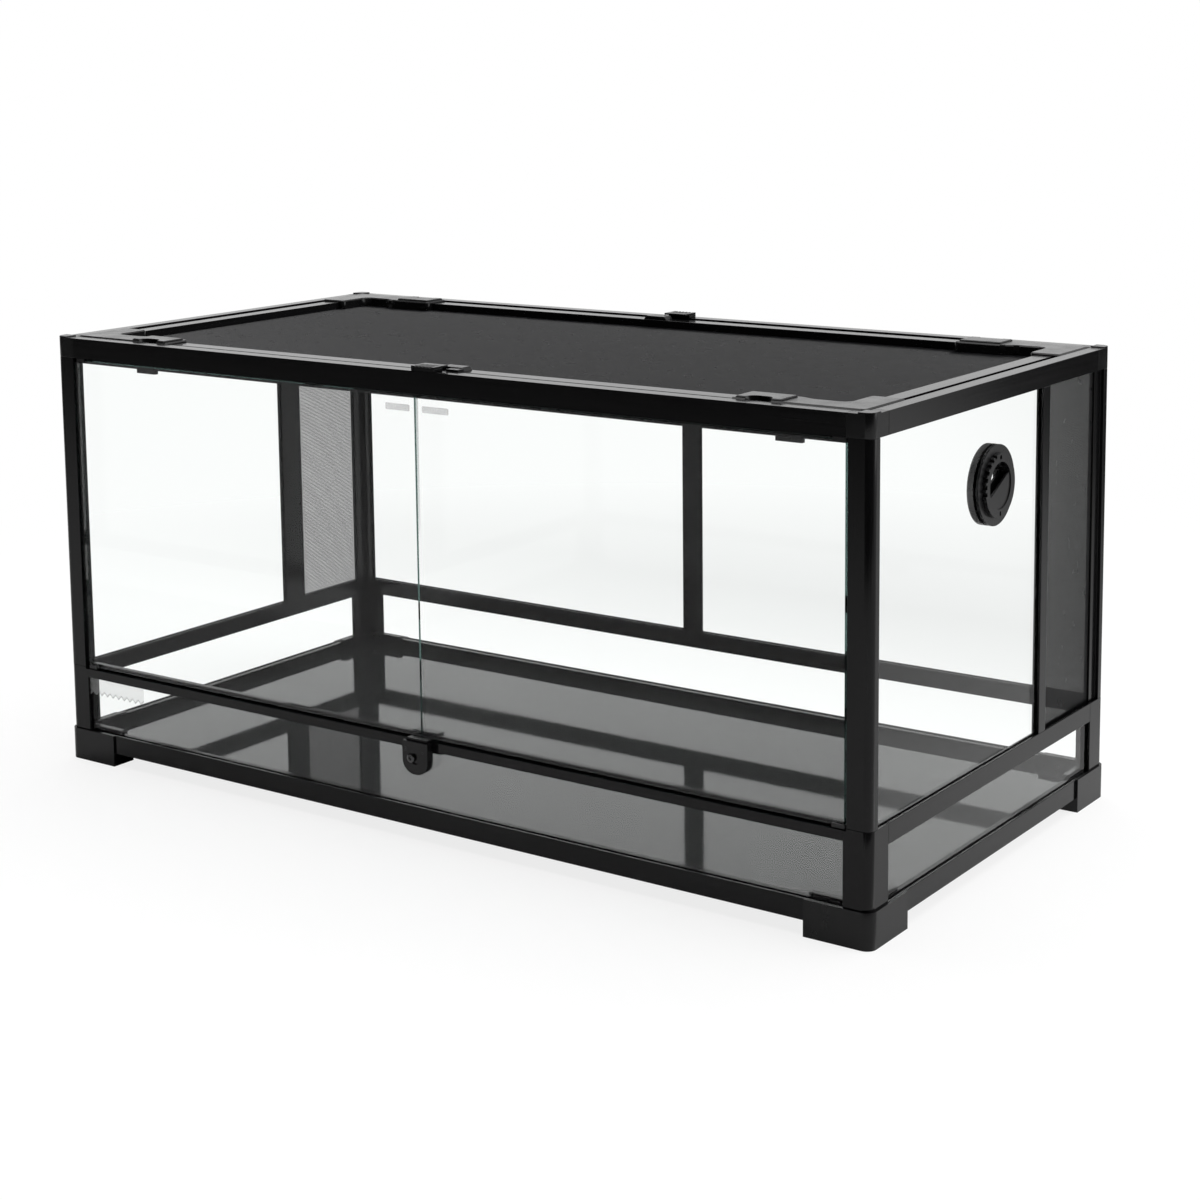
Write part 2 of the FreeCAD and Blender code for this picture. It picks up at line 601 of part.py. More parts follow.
# Back middle post with two pane grooves, and two vent bars with a pane groove and a slot for the mesh
half_bar = s.bar_wide / 2
middle = new_body("back_middle_post")
middle_section = [
    (-half_bar, zero), (half_bar, zero), (half_bar, groove_out), (half_bar - s.post_groove, groove_out),
    (half_bar - s.post_groove, groove_in), (half_bar, groove_in), (half_bar, post_thick),
    (-half_bar, post_thick), (-half_bar, groove_in), (s.post_groove - half_bar, groove_in),
    (s.post_groove - half_bar, groove_out), (-half_bar, groove_out),
]
pad(middle, sketch_on(middle, "XY_Plane", [middle_section]), upper_tall)
place(middle, zero, half_depth, mid_level, 180)

vent_edge = s.flange_end + s.vent_wide
bar_front = vent_edge + s.vent_bar
vent_bars = []
for side, mirror in (("left", -1), ("right", 1)):
    bar = new_body("vent_bar_" + side, kept=False)
    front_edge = half_depth - bar_front
    back_edge = half_depth - vent_edge
    lip_edge = back_edge - s.vent_lap
    bar_section = [
        (zero, front_edge), (groove_out, front_edge), (groove_out, front_edge + s.post_groove),
        (groove_in, front_edge + s.post_groove), (groove_in, front_edge), (post_thick, front_edge),
        (post_thick, back_edge), (slot_in, back_edge), (slot_in, lip_edge - s.mesh_slot),
        (slot_out, lip_edge - s.mesh_slot), (slot_out, lip_edge), (zero, lip_edge),
    ]
    bar_section = [(half_width * mirror - x * mirror, y) for x, y in bar_section]
    pad(bar, sketch_on(bar, "XY_Plane", [bar_section]), upper_tall)
    place(bar, zero, zero, mid_level)
    vent_bars.append(bar)
group("vent_bars", vent_bars)

# Side vent meshes: thin sheets that slide into the slots of the bars and the back posts
vent_foot = mid_level - s.mid_groove + s.glass_clear
vent_head = top_under + s.top_groove - s.glass_clear
mesh_front = half_depth - vent_edge - s.vent_lap - s.mesh_slot + s.mesh_clear
mesh_back = half_depth - s.flange_end + s.mesh_slot - s.mesh_clear
mesh_in = vent_mid - s.mesh_thick / 2
vent_sheets = []
for side, sheet_x in (("left", mesh_in - half_width), ("right", half_width - mesh_in - s.mesh_thick)):
    vent_sheets.append(box("vent_mesh_" + side, s.mesh_thick, mesh_back - mesh_front, vent_head - vent_foot,
                           sheet_x, mesh_front, vent_foot, kept=False))
group("vent_meshes", vent_sheets)

# Upper panes: one on each side, two at the back
side_front = groove_root + s.glass_clear - half_depth
side_back = half_depth - bar_front + s.post_groove - s.glass_clear
pane_tall = vent_head - vent_foot
box("upper_pane_left", s.glass, side_back - side_front, pane_tall,
    pane_out - half_width, side_front, vent_foot)
back_out = half_width - back_cut - s.glass_clear
back_in = half_bar - s.post_groove + s.glass_clear
upper_backs = []
for side, pane_x in (("left", -back_out), ("right", back_in)):
    upper_backs.append(box("upper_pane_back_" + side, back_out - back_in, s.glass, pane_tall,
                           pane_x, half_depth - pane_out - s.glass, vent_foot, kept=False))
group("upper_panes_back", upper_backs)

port_z = top_level - s.port_drop
port_y = -s.port_fore
port_hole = s.port_bore + s.port_tube * 2 + s.port_clear * 2
right_pane = new_body("upper_pane_right")
right_outline = rectangle(side_front, vent_foot, side_back, vent_head)
right_sketch = sketch_on(right_pane, "YZ_Plane", [right_outline], [(port_y, port_z, port_hole)])
pad(right_pane, right_sketch, s.glass)
place(right_pane, half_width - pane_out - s.glass, zero, zero)

# Top rails: hollow, with a ledge for the mesh top; the front one carries the door stop and pivots
ledge_top = s.top_tall - s.ledge_drop
ledge_low = ledge_top - s.ledge_thick
top_inner = [
    (s.top_wide, ledge_low), (ledge_reach, ledge_low), (ledge_reach, ledge_top),
    (s.top_wide, ledge_top), (s.top_wide, s.top_tall), (zero, s.top_tall),
]
pane_section = [
    (zero, zero), (groove_out, zero), (groove_out, s.top_groove), (groove_in, s.top_groove),
    (groove_in, zero), (s.top_wide, zero),
] + top_inner
stop_section = [
    (zero, zero), (s.stop_set, zero), (s.stop_set, -s.stop_drop), (s.top_wide, -s.stop_drop),
] + top_inner
hollow_top = s.top_tall - s.chamber_wall
hollow_low = hollow_top - s.top_chamber
hollow_in = s.top_wide - s.chamber_wall
top_hollow = rectangle(s.chamber_wall, hollow_low, hollow_in, hollow_top)
front_hollow = rectangle(s.chamber_wall, s.chamber_wall, hollow_in, hollow_low - s.chamber_wall)
stem_mid = s.top_wide / 2
slot_run = s.stem_long / 2 + s.stem_clear
stem_slot = rectangle(s.latch_at - slot_run, stem_mid - s.stem_wide / 2 - s.stem_clear,
                      s.latch_at + slot_run + s.latch_travel, stem_mid + s.stem_wide / 2 + s.stem_clear)
for side in SIDES:
    run = RAIL_RUN[side] - (s.joiner_front if side in ("front", "back") else joiner_side) * 2
    loops = [stop_section, top_hollow, front_hollow] if side == "front" else [pane_section, top_hollow]
    top_rail = rail("top_rail_" + side, loops, run, side, top_under)
    if side in ("front", "back"):
        pocket(top_rail, sketch_on(top_rail, "XY_Plane", [stem_slot], lift=s.top_tall), s.chamber_wall)
    if side == "front":
        pocket(top_rail, sketch_on(top_rail, "XY_Plane", circles=pivot_holes), s.chamber_wall, reverse=True)

# Top corner pieces: rounded angles with plugs in the rails and grooves over the pane corners
for corner, (corner_name, corner_x, corner_y) in enumerate(CORNERS):
    joiner = new_body("top_corner_" + corner_name)
    angle = [(zero, zero), (s.joiner_front, zero), (s.joiner_front, s.top_wide), (s.top_wide, s.top_wide),
             (s.top_wide, joiner_side), (zero, joiner_side)]
    pad(joiner, sketch_on(joiner, "XY_Plane", [turned(angle, corner)]), s.top_tall)
    cap = rectangle(zero, zero, s.top_wide, s.top_wide)
    pad(joiner, sketch_on(joiner, "XY_Plane", [cap], lift=s.top_tall), s.joiner_cap)
    plug_out = s.chamber_wall + s.spigot_clear
    plug_in = hollow_in - s.spigot_clear
    plugs = [rectangle(s.joiner_front, plug_out, s.joiner_front + s.spigot_long, plug_in),
             rectangle(plug_out, joiner_side, plug_in, joiner_side + s.spigot_long)]
    plugs = [turned(loop, corner) for loop in plugs]
    plug_sketch = sketch_on(joiner, "XY_Plane", plugs, lift=hollow_low + s.spigot_clear)
    pad(joiner, plug_sketch, s.top_chamber - s.spigot_clear * 2)
    grooves = [rectangle(groove_out, groove_root, groove_in, joiner_side)]
    if corner_name.startswith("back"):
        grooves.append(rectangle(back_cut, groove_out, s.joiner_front, groove_in))
    grooves = [turned(loop, corner) for loop in grooves]
    tip = pocket(joiner, sketch_on(joiner, "XY_Plane", grooves), s.top_groove, reverse=True)
    fillet_upright(joiner, tip, [(zero, zero, s.corner_round)])
    place_corner(joiner, corner, top_under)

# Doors: clear panes that turn on small shoes with a pin into the sill and into the top rail
door_low = s.foot_drop + s.door_bottom
door_high = top_under - s.door_top_gap
door_wide = pivot_x + s.pivot_edge - s.door_gap / 2
pane_y = pane_out - half_depth
box("door_pane_left", door_wide, s.glass, door_high - door_low, -(pivot_x + s.pivot_edge), pane_y, door_low)
box("door_pane_right", door_wide, s.glass, door_high - door_low, s.door_gap / 2, pane_y, door_low)

shoe_thick = s.glass + (s.shoe_clear + s.shoe_wall) * 2
shoe_tall = s.shoe_floor + s.shoe_grip


def pivot_shoe(label, x, z, turn, axis):
    shoe = new_body(label, kept=False)
    pad(shoe, sketch_on(shoe, "XY_Plane", circles=[(zero, zero, shoe_thick)]), shoe_tall)
    arm = rectangle(zero, -shoe_thick / 2, s.shoe_long, shoe_thick / 2)
    pad(shoe, sketch_on(shoe, "XY_Plane", [arm]), shoe_tall)
    seat_half = s.glass / 2 + s.shoe_clear
    seat = rectangle(-(s.pivot_edge + s.shoe_clear), -seat_half, s.shoe_long, seat_half)
    pocket(shoe, sketch_on(shoe, "XY_Plane", [seat], lift=shoe_tall), s.shoe_grip)
    pad(shoe, sketch_on(shoe, "XY_Plane", circles=[(zero, zero, s.pin_round)]), s.pin_long, reverse=True)
    place(shoe, x, pane_mid - half_depth, z, turn, axis)
    return shoe


upright = Vector(0, 0, 1)
shoe_foot = door_low - s.shoe_floor
shoe_head = door_high + s.shoe_floor
for side, mirror in (("left", -1), ("right", 1)):
    low_turn = 0 if side == "left" else 180
    flip_axis = Vector(1, 0, 0) if side == "left" else Vector(0, 1, 0)
    lower = pivot_shoe("shoe_low_" + side, pivot_x * mirror, shoe_foot, low_turn, upright)
    upper = pivot_shoe("shoe_high_" + side, pivot_x * mirror, shoe_head, 180, flip_axis)
    group("door_pivots_" + side, [lower, upper])

# Door lock: a rounded plate on the sill, a tongue that slides up in it, a clamp behind the sill
lock_top = s.sill_lip
lock = new_body("lock_plate")
half_lock = s.lock_wide / 2
plate = rectangle(-half_lock, s.lock_low, half_lock, lock_top)
tip = pad(lock, sketch_on(lock, "XZ_Plane", [plate]), s.lock_proud)
doc.recompute()
round_edges = []
for number, edge in enumerate(tip.Shape.Edges, start=1):
    ends = [vertex.Point for vertex in edge.Vertexes]
    if all(abs(p.z - s.lock_low.value) < 0.01 for p in ends) and abs(ends[0].y - ends[-1].y) > 1:
        round_edges.append("Edge%d" % number)
rounding = lock.newObject("PartDesign::Fillet", "lock_plate_fillet")
rounding.Base = (tip, round_edges)
bind(rounding, "Radius", s.lock_round)
half_tongue = s.tongue_wide / 2
well = rectangle(-half_tongue - s.tongue_clear, -s.tongue_front - s.tongue_clear,
                 half_tongue + s.tongue_clear, s.tongue_thick - s.tongue_front + s.tongue_clear)
pocket(lock, sketch_on(lock, "XY_Plane", [well], lift=lock_top), s.tongue_stem + s.tongue_clear)
screw_at = [(zero, s.lock_low + s.lock_screw_up, s.lock_screw)]
seat_sketch = sketch_on(lock, "XZ_Plane", circles=screw_at, lift=s.lock_proud)
pocket(lock, seat_sketch, (s.lock_proud - s.tongue_front - s.tongue_clear) / 2)
place(lock, zero, -half_depth, s.foot_drop)

tongue = new_body("lock_tongue")
stem = rectangle(-half_tongue, -s.tongue_front, half_tongue, s.tongue_thick - s.tongue_front)
tongue_low = lock_top - s.tongue_stem
nose_low = lock_top + s.tongue_clear
pad(tongue, sketch_on(tongue, "XY_Plane", [stem], lift=tongue_low), nose_low + s.tongue_head - tongue_low)
nose = rectangle(-half_tongue, -s.tongue_front, half_tongue, pane_out - s.tongue_clear * 2)
pad(tongue, sketch_on(tongue, "XY_Plane", [nose], lift=nose_low), s.tongue_head)
place(tongue, zero, -half_depth, s.foot_drop)

hook = new_body("lock_clamp")
hook_section = [
    (s.stop_set, s.sill_stop), (s.top_wide, s.sill_stop), (s.top_wide, s.hook_low),
    (s.top_wide + s.hook_thick, s.hook_low), (s.top_wide + s.hook_thick, s.sill_stop + s.hook_cap),
    (s.stop_set, s.sill_stop + s.hook_cap),
]
pad(hook, sketch_on(hook, "YZ_Plane", [hook_section]), s.lock_wide, symmetric=True)
place(hook, zero, -half_depth, s.foot_drop)

# Mesh top: hollow bars, winged corner pieces with thumb scoops and hanging tabs, a sheet of open mesh
screen_foot = top_level - s.ledge_drop
bar_tall = s.ledge_drop - s.screen_low
slot_low = s.mesh_up - slot_wide / 2
slot_high = s.mesh_up + slot_wide / 2
screen_section = [
    (zero, zero), (s.screen_bar, zero), (s.screen_bar, slot_low), (s.screen_bar - s.mesh_slot, slot_low),
    (s.screen_bar - s.mesh_slot, slot_high), (s.screen_bar, slot_high), (s.screen_bar, bar_tall),
    (zero, bar_tall),
]
screen_section = [(s.screen_set + x, z) for x, z in screen_section]
cell_out = s.screen_set + s.screen_wall
cell_in = cell_out + s.screen_chamber
cell_low = s.screen_wall
cell_high = bar_tall - s.screen_wall
screen_hollow = rectangle(cell_out, cell_low, cell_in, cell_high)
SCREEN_RUN = {"front": s.wing_long, "back": s.wing_long, "left": s.wing_short, "right": s.wing_short}
screen_bars = {}
for side, arm in SCREEN_RUN.items():
    screen_bars[side] = rail("screen_bar_" + side, [screen_section, screen_hollow],
                             RAIL_RUN[side] - arm * 2, side, screen_foot, kept=False)
group("screen_bars_long", [screen_bars["front"], screen_bars["back"]])
group("screen_bars_short", [screen_bars["left"], screen_bars["right"]])

wing_out = s.top_wide + s.screen_gap
wing_tall = bar_tall + s.wing_rise
pad_start = s.wing_long - s.wing_pad
ramp_start = pad_start - s.wing_ramp
wing_outline = [
    (wing_out, wing_out), (s.wing_long, wing_out), (s.wing_long, s.wing_bulge), (pad_start, s.wing_bulge),
    (ramp_start, s.wing_inner), (s.wing_side, s.wing_inner), (s.wing_side, s.wing_short),
    (wing_out, s.wing_short),
]
mesh_set = s.screen_set + s.screen_bar - s.mesh_slot
for corner, (corner_name, corner_x, corner_y) in enumerate(CORNERS):
    wing = new_body("screen_corner_" + corner_name)
    tip = pad(wing, sketch_on(wing, "XY_Plane", [turned(wing_outline, corner)]), wing_tall)
    spots = [
        (wing_out, wing_out, s.wing_corner), (s.wing_long, s.wing_bulge, s.wing_corner),
        (pad_start, s.wing_bulge, s.wing_round), (ramp_start, s.wing_inner, s.wing_round),
        (s.wing_side, s.wing_inner, s.wing_corner * 2), (s.wing_side, s.wing_short, s.wing_corner),
    ]
    spots = [(x, y, r) if corner % 2 == 0 else (y, x, r) for x, y, r in spots]
    slope_top(wing, fillet_upright(wing, tip, spots), wing_tall, s.wing_soft)
    slab = rectangle(mesh_set, mesh_set, s.wing_long + s.wing_short, s.wing_long + s.wing_short)
    pocket(wing, sketch_on(wing, "XY_Plane", [slab], lift=slot_high), slot_wide)
    plug_gap = s.spigot_clear
    plugs = [rectangle(s.wing_long, cell_out + plug_gap, s.wing_long + s.spigot_long, cell_in - plug_gap),
             rectangle(cell_out + plug_gap, s.wing_short, cell_in - plug_gap, s.wing_short + s.spigot_long)]
    plugs = [turned(loop, corner) for loop in plugs]
    pad(wing, sketch_on(wing, "XY_Plane", plugs, lift=cell_low + plug_gap), cell_high - cell_low - plug_gap * 2)
    tab_out = ledge_reach + s.tab_space
    tab = rectangle(s.tab_set, tab_out, s.tab_set + s.tab_long, tab_out + s.tab_thick)
    tab_sketch = sketch_on(wing, "XY_Plane", [turned(tab, corner)])
    pad(wing, tab_sketch, s.tab_drop - s.ledge_drop, reverse=True)
    raised = rectangle(pad_start + s.wing_corner, wing_out + s.wing_soft,
                       s.wing_long - s.wing_corner, s.wing_bulge - s.wing_corner)
    raised_sketch = sketch_on(wing, "XY_Plane", [turned(raised, corner)], lift=wing_tall)
    thumb_top = wing_tall + s.thumb_rise
    slope_top(wing, pad(wing, raised_sketch, s.thumb_rise), thumb_top, s.thumb_rise / 2)
    scoop_from = pad_start + (s.wing_pad - s.thumb_long + s.thumb_wide) / 2
    scoop_to = scoop_from + s.thumb_long - s.thumb_wide
    scoop_line = wing_out + s.thumb_set
    scoop = sketch_on(wing, "XY_Plane")
    scoop_turn = FreeCAD.Rotation(Vector(0, 0, 1), 90 * (corner % 2))
    scoop.AttachmentOffset = FreeCAD.Placement(Vector(), scoop_turn)
    bind(scoop, "AttachmentOffset.Base.z", thumb_top)
    add_slot(scoop, scoop_from, scoop_to, scoop_line if corner % 2 == 0 else -scoop_line, s.thumb_wide)
    pocket(wing, scoop, s.thumb_deep)
    place_corner(wing, corner, screen_foot)

mesh_edge = mesh_set + s.mesh_clear
mesh_x = half_width - mesh_edge
mesh_y = half_depth - mesh_edge
field_x = half_width - s.grid_set
field_y = half_depth - s.grid_set
cell_x = (field_x * 2 + s.grid_bar) / MESH_COLUMNS
cell_y = (field_y * 2 + s.grid_bar) / MESH_ROWS
mesh = new_body("screen_mesh")
pad(mesh, sketch_on(mesh, "XY_Plane", [rectangle(-mesh_x, -mesh_y, mesh_x, mesh_y)]), s.mesh_thick)
column = []
for row in range(MESH_ROWS):
    cell_front = cell_y * row - field_y
    cell_back = cell_front + cell_y - s.grid_bar
    column.append(rectangle(-field_x, cell_front, cell_x - field_x - s.grid_bar, cell_back))
column_sketch = sketch_on(mesh, "XY_Plane", column, lift=s.mesh_thick)
column_cut = pocket(mesh, column_sketch, s.mesh_thick)
grid = mesh.newObject("PartDesign::LinearPattern", "screen_mesh_grid")
grid.Originals = [column_cut]
grid.Direction = (column_sketch, ["H_Axis"])
grid.Occurrences = MESH_COLUMNS
bind(grid, "Length", cell_x * (MESH_COLUMNS - 1))
mesh.Tip = grid
place(mesh, zero, zero, screen_foot + s.mesh_up - s.mesh_thick / 2)

# Screen latches: a slider with a ribbed plate on the front and back rails, a keeper on each long bar
half_latch = s.latch_long / 2
keepers = []
for side in ("front", "back"):
    slider = new_body("latch_slider_" + side)
    plate_low = s.latch_tall - s.latch_lip_thick
    grip = rectangle(-half_latch, s.latch_edge, half_latch, s.top_wide - s.latch_edge)
    pad(slider, sketch_on(slider, "XY_Plane", [grip]), plate_low)
    stem = rectangle(-s.stem_long / 2, stem_mid - s.stem_wide / 2, s.stem_long / 2, stem_mid + s.stem_wide / 2)
    stem_deep = s.chamber_wall + s.stem_clear
    pad(slider, sketch_on(slider, "XY_Plane", [stem]), stem_deep, reverse=True)
    sole = rectangle(-s.stem_long / 2, stem_mid - s.stem_foot / 2, s.stem_long / 2, stem_mid + s.stem_foot / 2)
    pad(slider, sketch_on(slider, "XY_Plane", [sole], lift=-stem_deep), s.stem_foot_thick, reverse=True)
    plate = new_body("latch_plate_" + side)
    cover = rectangle(-half_latch, s.latch_edge, half_latch, s.top_wide + s.latch_lip)
    pad(plate, sketch_on(plate, "XY_Plane", [cover]), s.latch_lip_thick)
    cuts = []
    for step in range(LATCH_GROOVES):
        left = s.latch_rib * (2 * step - LATCH_GROOVES + 0.5)
        cuts.append(rectangle(left, zero, left + s.latch_rib, s.top_wide))
    pocket(plate, sketch_on(plate, "XY_Plane", cuts, lift=s.latch_lip_thick), s.latch_rib_deep)
    turn = SIDES[side][2]
    at = s.latch_at if side == "front" else -s.latch_at
    place(slider, at, SIDES[side][1], top_level, turn)
    place(plate, at, SIDES[side][1], top_level + plate_low, turn)

    keeper = new_body("screen_keeper_" + side, kept=False)
    keepers.append(keeper)
    half_keeper = s.keeper_long / 2
    bridge = [(-half_keeper, zero), (half_keeper, zero), (half_keeper - s.keeper_slope, s.keeper_tall),
              (s.keeper_slope - half_keeper, s.keeper_tall)]
    keeper_out = s.screen_set + (s.screen_bar - s.keeper_deep) / 2
    bridge_sketch = sketch_on(keeper, "XZ_Plane", [bridge], lift=-(keeper_out + s.keeper_deep))
    pad(keeper, bridge_sketch, s.keeper_deep)
    ear = rectangle(half_keeper - s.keeper_ear, s.top_wide + s.screen_gap, half_keeper, keeper_out)
    pad(keeper, sketch_on(keeper, "XY_Plane", [ear]), s.keeper_ear_tall)
    at = s.latch_at + s.keeper_side if side == "front" else -(s.latch_at + s.keeper_side)
    place(keeper, at, SIDES[side][1], top_level - s.screen_low, turn)
group("screen_keepers", keepers)


# Cable port: flange with a tube through the pane, a nut inside, a turning shutter outside
def turned_body(label, section):
    """A body of revolution about its own Z axis from a section of (radius, height) corners."""
    body = new_body(label)
    sketch = sketch_on(body, "XZ_Plane", [section])
    turn = body.newObject("PartDesign::Revolution", body.Name + "_turn")
    turn.Profile = sketch
    turn.ReferenceAxis = (sketch, ["V_Axis"])
    turn.Angle = 360
    return body


def half_moon(body, diameter, low, thick):
    """A half disc that shuts one half of a bore, below a chord through the middle."""
    half = diameter / 2
    sketch = sketch_on(body, "XY_Plane")
    sketch.AttachmentOffset = FreeCAD.Placement(Vector(), FreeCAD.Rotation(upright, PORT_TILT))
    bind(sketch, "AttachmentOffset.Base.z", low)
    sketch.addGeometry([
        Part.ArcOfCircle(Part.Circle(Vector(), Vector(0, 0, 1), half.value), -3.141592653589793, 0),
        Part.LineSegment(Vector(half.value, 0, 0), Vector(-half.value, 0, 0)),
    ], False)
    sketch.addConstraint([
        Sketcher.Constraint("Coincident", 0, 3, -1, 1),
        Sketcher.Constraint("Coincident", 0, 2, 1, 1),
        Sketcher.Constraint("Coincident", 1, 2, 0, 1),
        Sketcher.Constraint("PointOnObject", 0, 1, -1),
        Sketcher.Constraint("PointOnObject", 0, 2, -1),
    ])
    number = sketch.addConstraint(Sketcher.Constraint("Radius", 0, half.value))
    bind(sketch, "Constraints[%d]" % number, half)
    pad(body, sketch, thick)


def place_port(body):
    place(body, half_width - pane_out, port_y, port_z, 90, Vector(0, 1, 0))


bore = s.port_bore / 2
tube = bore + s.port_tube
flange_round = s.port_wide / 2
flange = turned_body("port_flange", [
    (bore, -s.port_inside), (tube, -s.port_inside), (tube, zero), (flange_round, zero),
    (flange_round, s.port_flange), (bore, s.port_flange),
])
half_low = s.port_flange - s.dial_hub - s.half_space - s.port_half
half_moon(flange, s.port_bore, half_low, s.port_half)
place_port(flange)

nut_out = s.port_nut / 2
nut_face = -s.glass
nut = turned_body("port_nut", [
    (tube + s.pin_clear, nut_face - s.port_nut_deep), (nut_out, nut_face - s.port_nut_deep),
    (nut_out, nut_face), (tube + s.pin_clear, nut_face),
])
place_port(nut)

dial_low = s.port_flange + s.dial_gap
dial_high = dial_low + s.dial_thick
hub_out = bore - s.dial_clear
hub_in = hub_out - s.dial_hub_wall
dial = turned_body("port_shutter", [
    (hub_in, s.port_flange - s.dial_hub), (hub_out, s.port_flange - s.dial_hub), (hub_out, dial_low),
    (s.dial_wide / 2, dial_low), (s.dial_wide / 2, dial_high), (hub_in, dial_high),
])
half_moon(dial, hub_in * 2, dial_high - s.dial_sunk - s.dial_plate, s.dial_plate)
finger_hole = [(-s.dial_hole_out, zero, s.dial_hole)]
keyway = rectangle(s.dial_hole_out - s.dial_hole / 2, -s.dial_key / 2,
                   s.dial_hole_out + s.dial_hole / 2, s.dial_key / 2)
pocket(dial, sketch_on(dial, "XY_Plane", [keyway], finger_hole, lift=dial_high), s.dial_hole_deep)
dial_edge = s.dial_wide / 2
notch = rectangle(dial_edge - s.dial_grip_deep, -s.dial_grip / 2, dial_edge + s.dial_grip_deep, s.dial_grip / 2)
notch_sketch = sketch_on(dial, "XY_Plane", [notch])
notch_sketch.AttachmentOffset = FreeCAD.Placement(Vector(), FreeCAD.Rotation(upright, DIAL_FIRST))
bind(notch_sketch, "AttachmentOffset.Base.z", dial_high)
notch_cut = pocket(dial, notch_sketch, s.dial_thick)
ring = dial.newObject("PartDesign::PolarPattern", "port_shutter_ring")
ring.Originals = [notch_cut]
ring.Axis = (notch_sketch, ["N_Axis"])
ring.Angle = DIAL_ARC
ring.Occurrences = DIAL_NOTCHES
dial.Tip = ring
place_port(dial)

# Build, test every object and write one file for each sub-part
doc.recompute()
for obj in doc.Objects:
    if "Invalid" in obj.State or "Error" in obj.State:
        raise RuntimeError("%s did not build: %s" % (obj.Label, obj.State))
for obj in subparts:
    if obj.Shape.isNull() or not obj.Shape.isValid() or not obj.Shape.Solids:
        raise RuntimeError("%s has no sound solid" % obj.Label)

os.makedirs("parts", exist_ok=True)
for obj in subparts:
    obj.Shape.exportStep("parts/%s.step" % obj.Label)
print("%d sub-parts, %d sizes" % (len(subparts), len(SIZES)))
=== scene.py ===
# %% [markdown]
# # A glass terrarium, dressed for a studio picture
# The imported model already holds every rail, post, pane and joint at its real size. This lesson
# loads it, gives each surface its finish, and adds what is too fine for solid modelling: the
# woven wire, the stickers and the cross-recess screw. The tank could also be modelled again in
# Blender, but then the picture and the solids would drift apart, so all is built round the loaded
# nodes. At the end a camera and two soft lamps show it as a catalogue would.

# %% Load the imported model
import math

import bmesh
import bpy
from mathutils import Matrix, Vector


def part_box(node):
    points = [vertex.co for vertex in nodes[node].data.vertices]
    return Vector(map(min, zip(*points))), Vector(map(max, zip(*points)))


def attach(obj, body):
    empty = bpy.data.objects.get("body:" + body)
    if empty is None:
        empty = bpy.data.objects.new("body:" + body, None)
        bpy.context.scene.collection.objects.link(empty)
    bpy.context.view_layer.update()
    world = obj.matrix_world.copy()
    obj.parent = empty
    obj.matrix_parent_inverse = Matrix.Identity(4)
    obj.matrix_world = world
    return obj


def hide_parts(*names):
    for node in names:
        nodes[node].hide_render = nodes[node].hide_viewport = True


MM = 0.001
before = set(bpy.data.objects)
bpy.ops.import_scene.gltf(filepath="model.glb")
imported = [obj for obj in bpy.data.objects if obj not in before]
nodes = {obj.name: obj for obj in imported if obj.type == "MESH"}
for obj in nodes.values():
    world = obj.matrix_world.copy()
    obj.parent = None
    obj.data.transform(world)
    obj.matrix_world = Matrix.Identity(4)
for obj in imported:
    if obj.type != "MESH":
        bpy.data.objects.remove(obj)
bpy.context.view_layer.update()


# %% [markdown]
# ## Tools for finishes
# No surface of the tank is quite even: it is drawn, moulded, coated or wiped. That could be painted
# as a picture, but a picture needs unwrapped meshes and blurs up close. Shader nodes need neither,
# so all finishes are built from nodes. These helpers start a material, add shader nodes to it and
# put it on nodes of the loaded model.

# %% Helpers for finishes
def new_finish(name):
    """A fresh material, its node tree and its Principled shader."""
    material = bpy.data.materials.new(name)
    material.use_nodes = True
    tree = material.node_tree
    return material, tree, tree.nodes["Principled BSDF"]


def add_node(tree, kind, links=(), **values):
    """A shader node with sockets set by name; links pairs an input with an output socket."""
    node = tree.nodes.new(kind)
    for name, value in values.items():
        if name in node.bl_rna.properties:
            setattr(node, name, value)
        else:
            node.inputs[name.replace("_", " ")].default_value = value
    for name, output in links:
        tree.links.new(output, node.inputs[name])
    return node


def paint(names, material):
    """Gives loaded nodes a finish."""
    for name in names:
        slots = nodes[name].data.materials
        slots.clear()
        slots.append(material)
    print(material.name, "on", len(names), "nodes")


print("helpers for finishes ready")


# %% [markdown]
# ## Uneven surfaces
# Wear, grain and clouds have no pattern that repeats. A tiled texture would show its seams on rails
# almost a metre long, so a noise over the object's own coordinates is used, which has none. One
# helper makes the noise, the other two turn its values into a range of numbers or of colours.

# %% Helpers for noise
def object_noise(tree, scale, stretch=(1, 1, 1), detail=4.0):
    """Noise on object coordinates, drawn out along an axis where stretch is below 1."""
    coords = add_node(tree, "ShaderNodeTexCoord")
    mapping = add_node(tree, "ShaderNodeMapping", [("Vector", coords.outputs["Object"])])
    mapping.inputs["Scale"].default_value = stretch
    noise = add_node(tree, "ShaderNodeTexNoise", [("Vector", mapping.outputs["Vector"])],
                     Scale=scale, Detail=detail, Roughness=0.6)
    return noise.outputs["Fac"]


def map_range(tree, output, low, high, start=0.3, end=0.7):
    """Stretches a socket's values from start..end to low..high."""
    mapped = add_node(tree, "ShaderNodeMapRange", [("Value", output)], From_Min=start,
                      From_Max=end, To_Min=low, To_Max=high)
    return mapped.outputs["Result"]


def two_tones(tree, output, dark, light, start=0.0, end=1.0):
    """A colour ramp from a dark to a light colour over a socket's values."""
    ramp = add_node(tree, "ShaderNodeValToRGB", [("Fac", output)])
    for element, colour, position in zip(ramp.color_ramp.elements, (dark, light), (start, end)):
        element.color = (*colour, 1)
        element.position = position
    return ramp.outputs["Color"]


print("helpers for noise ready")

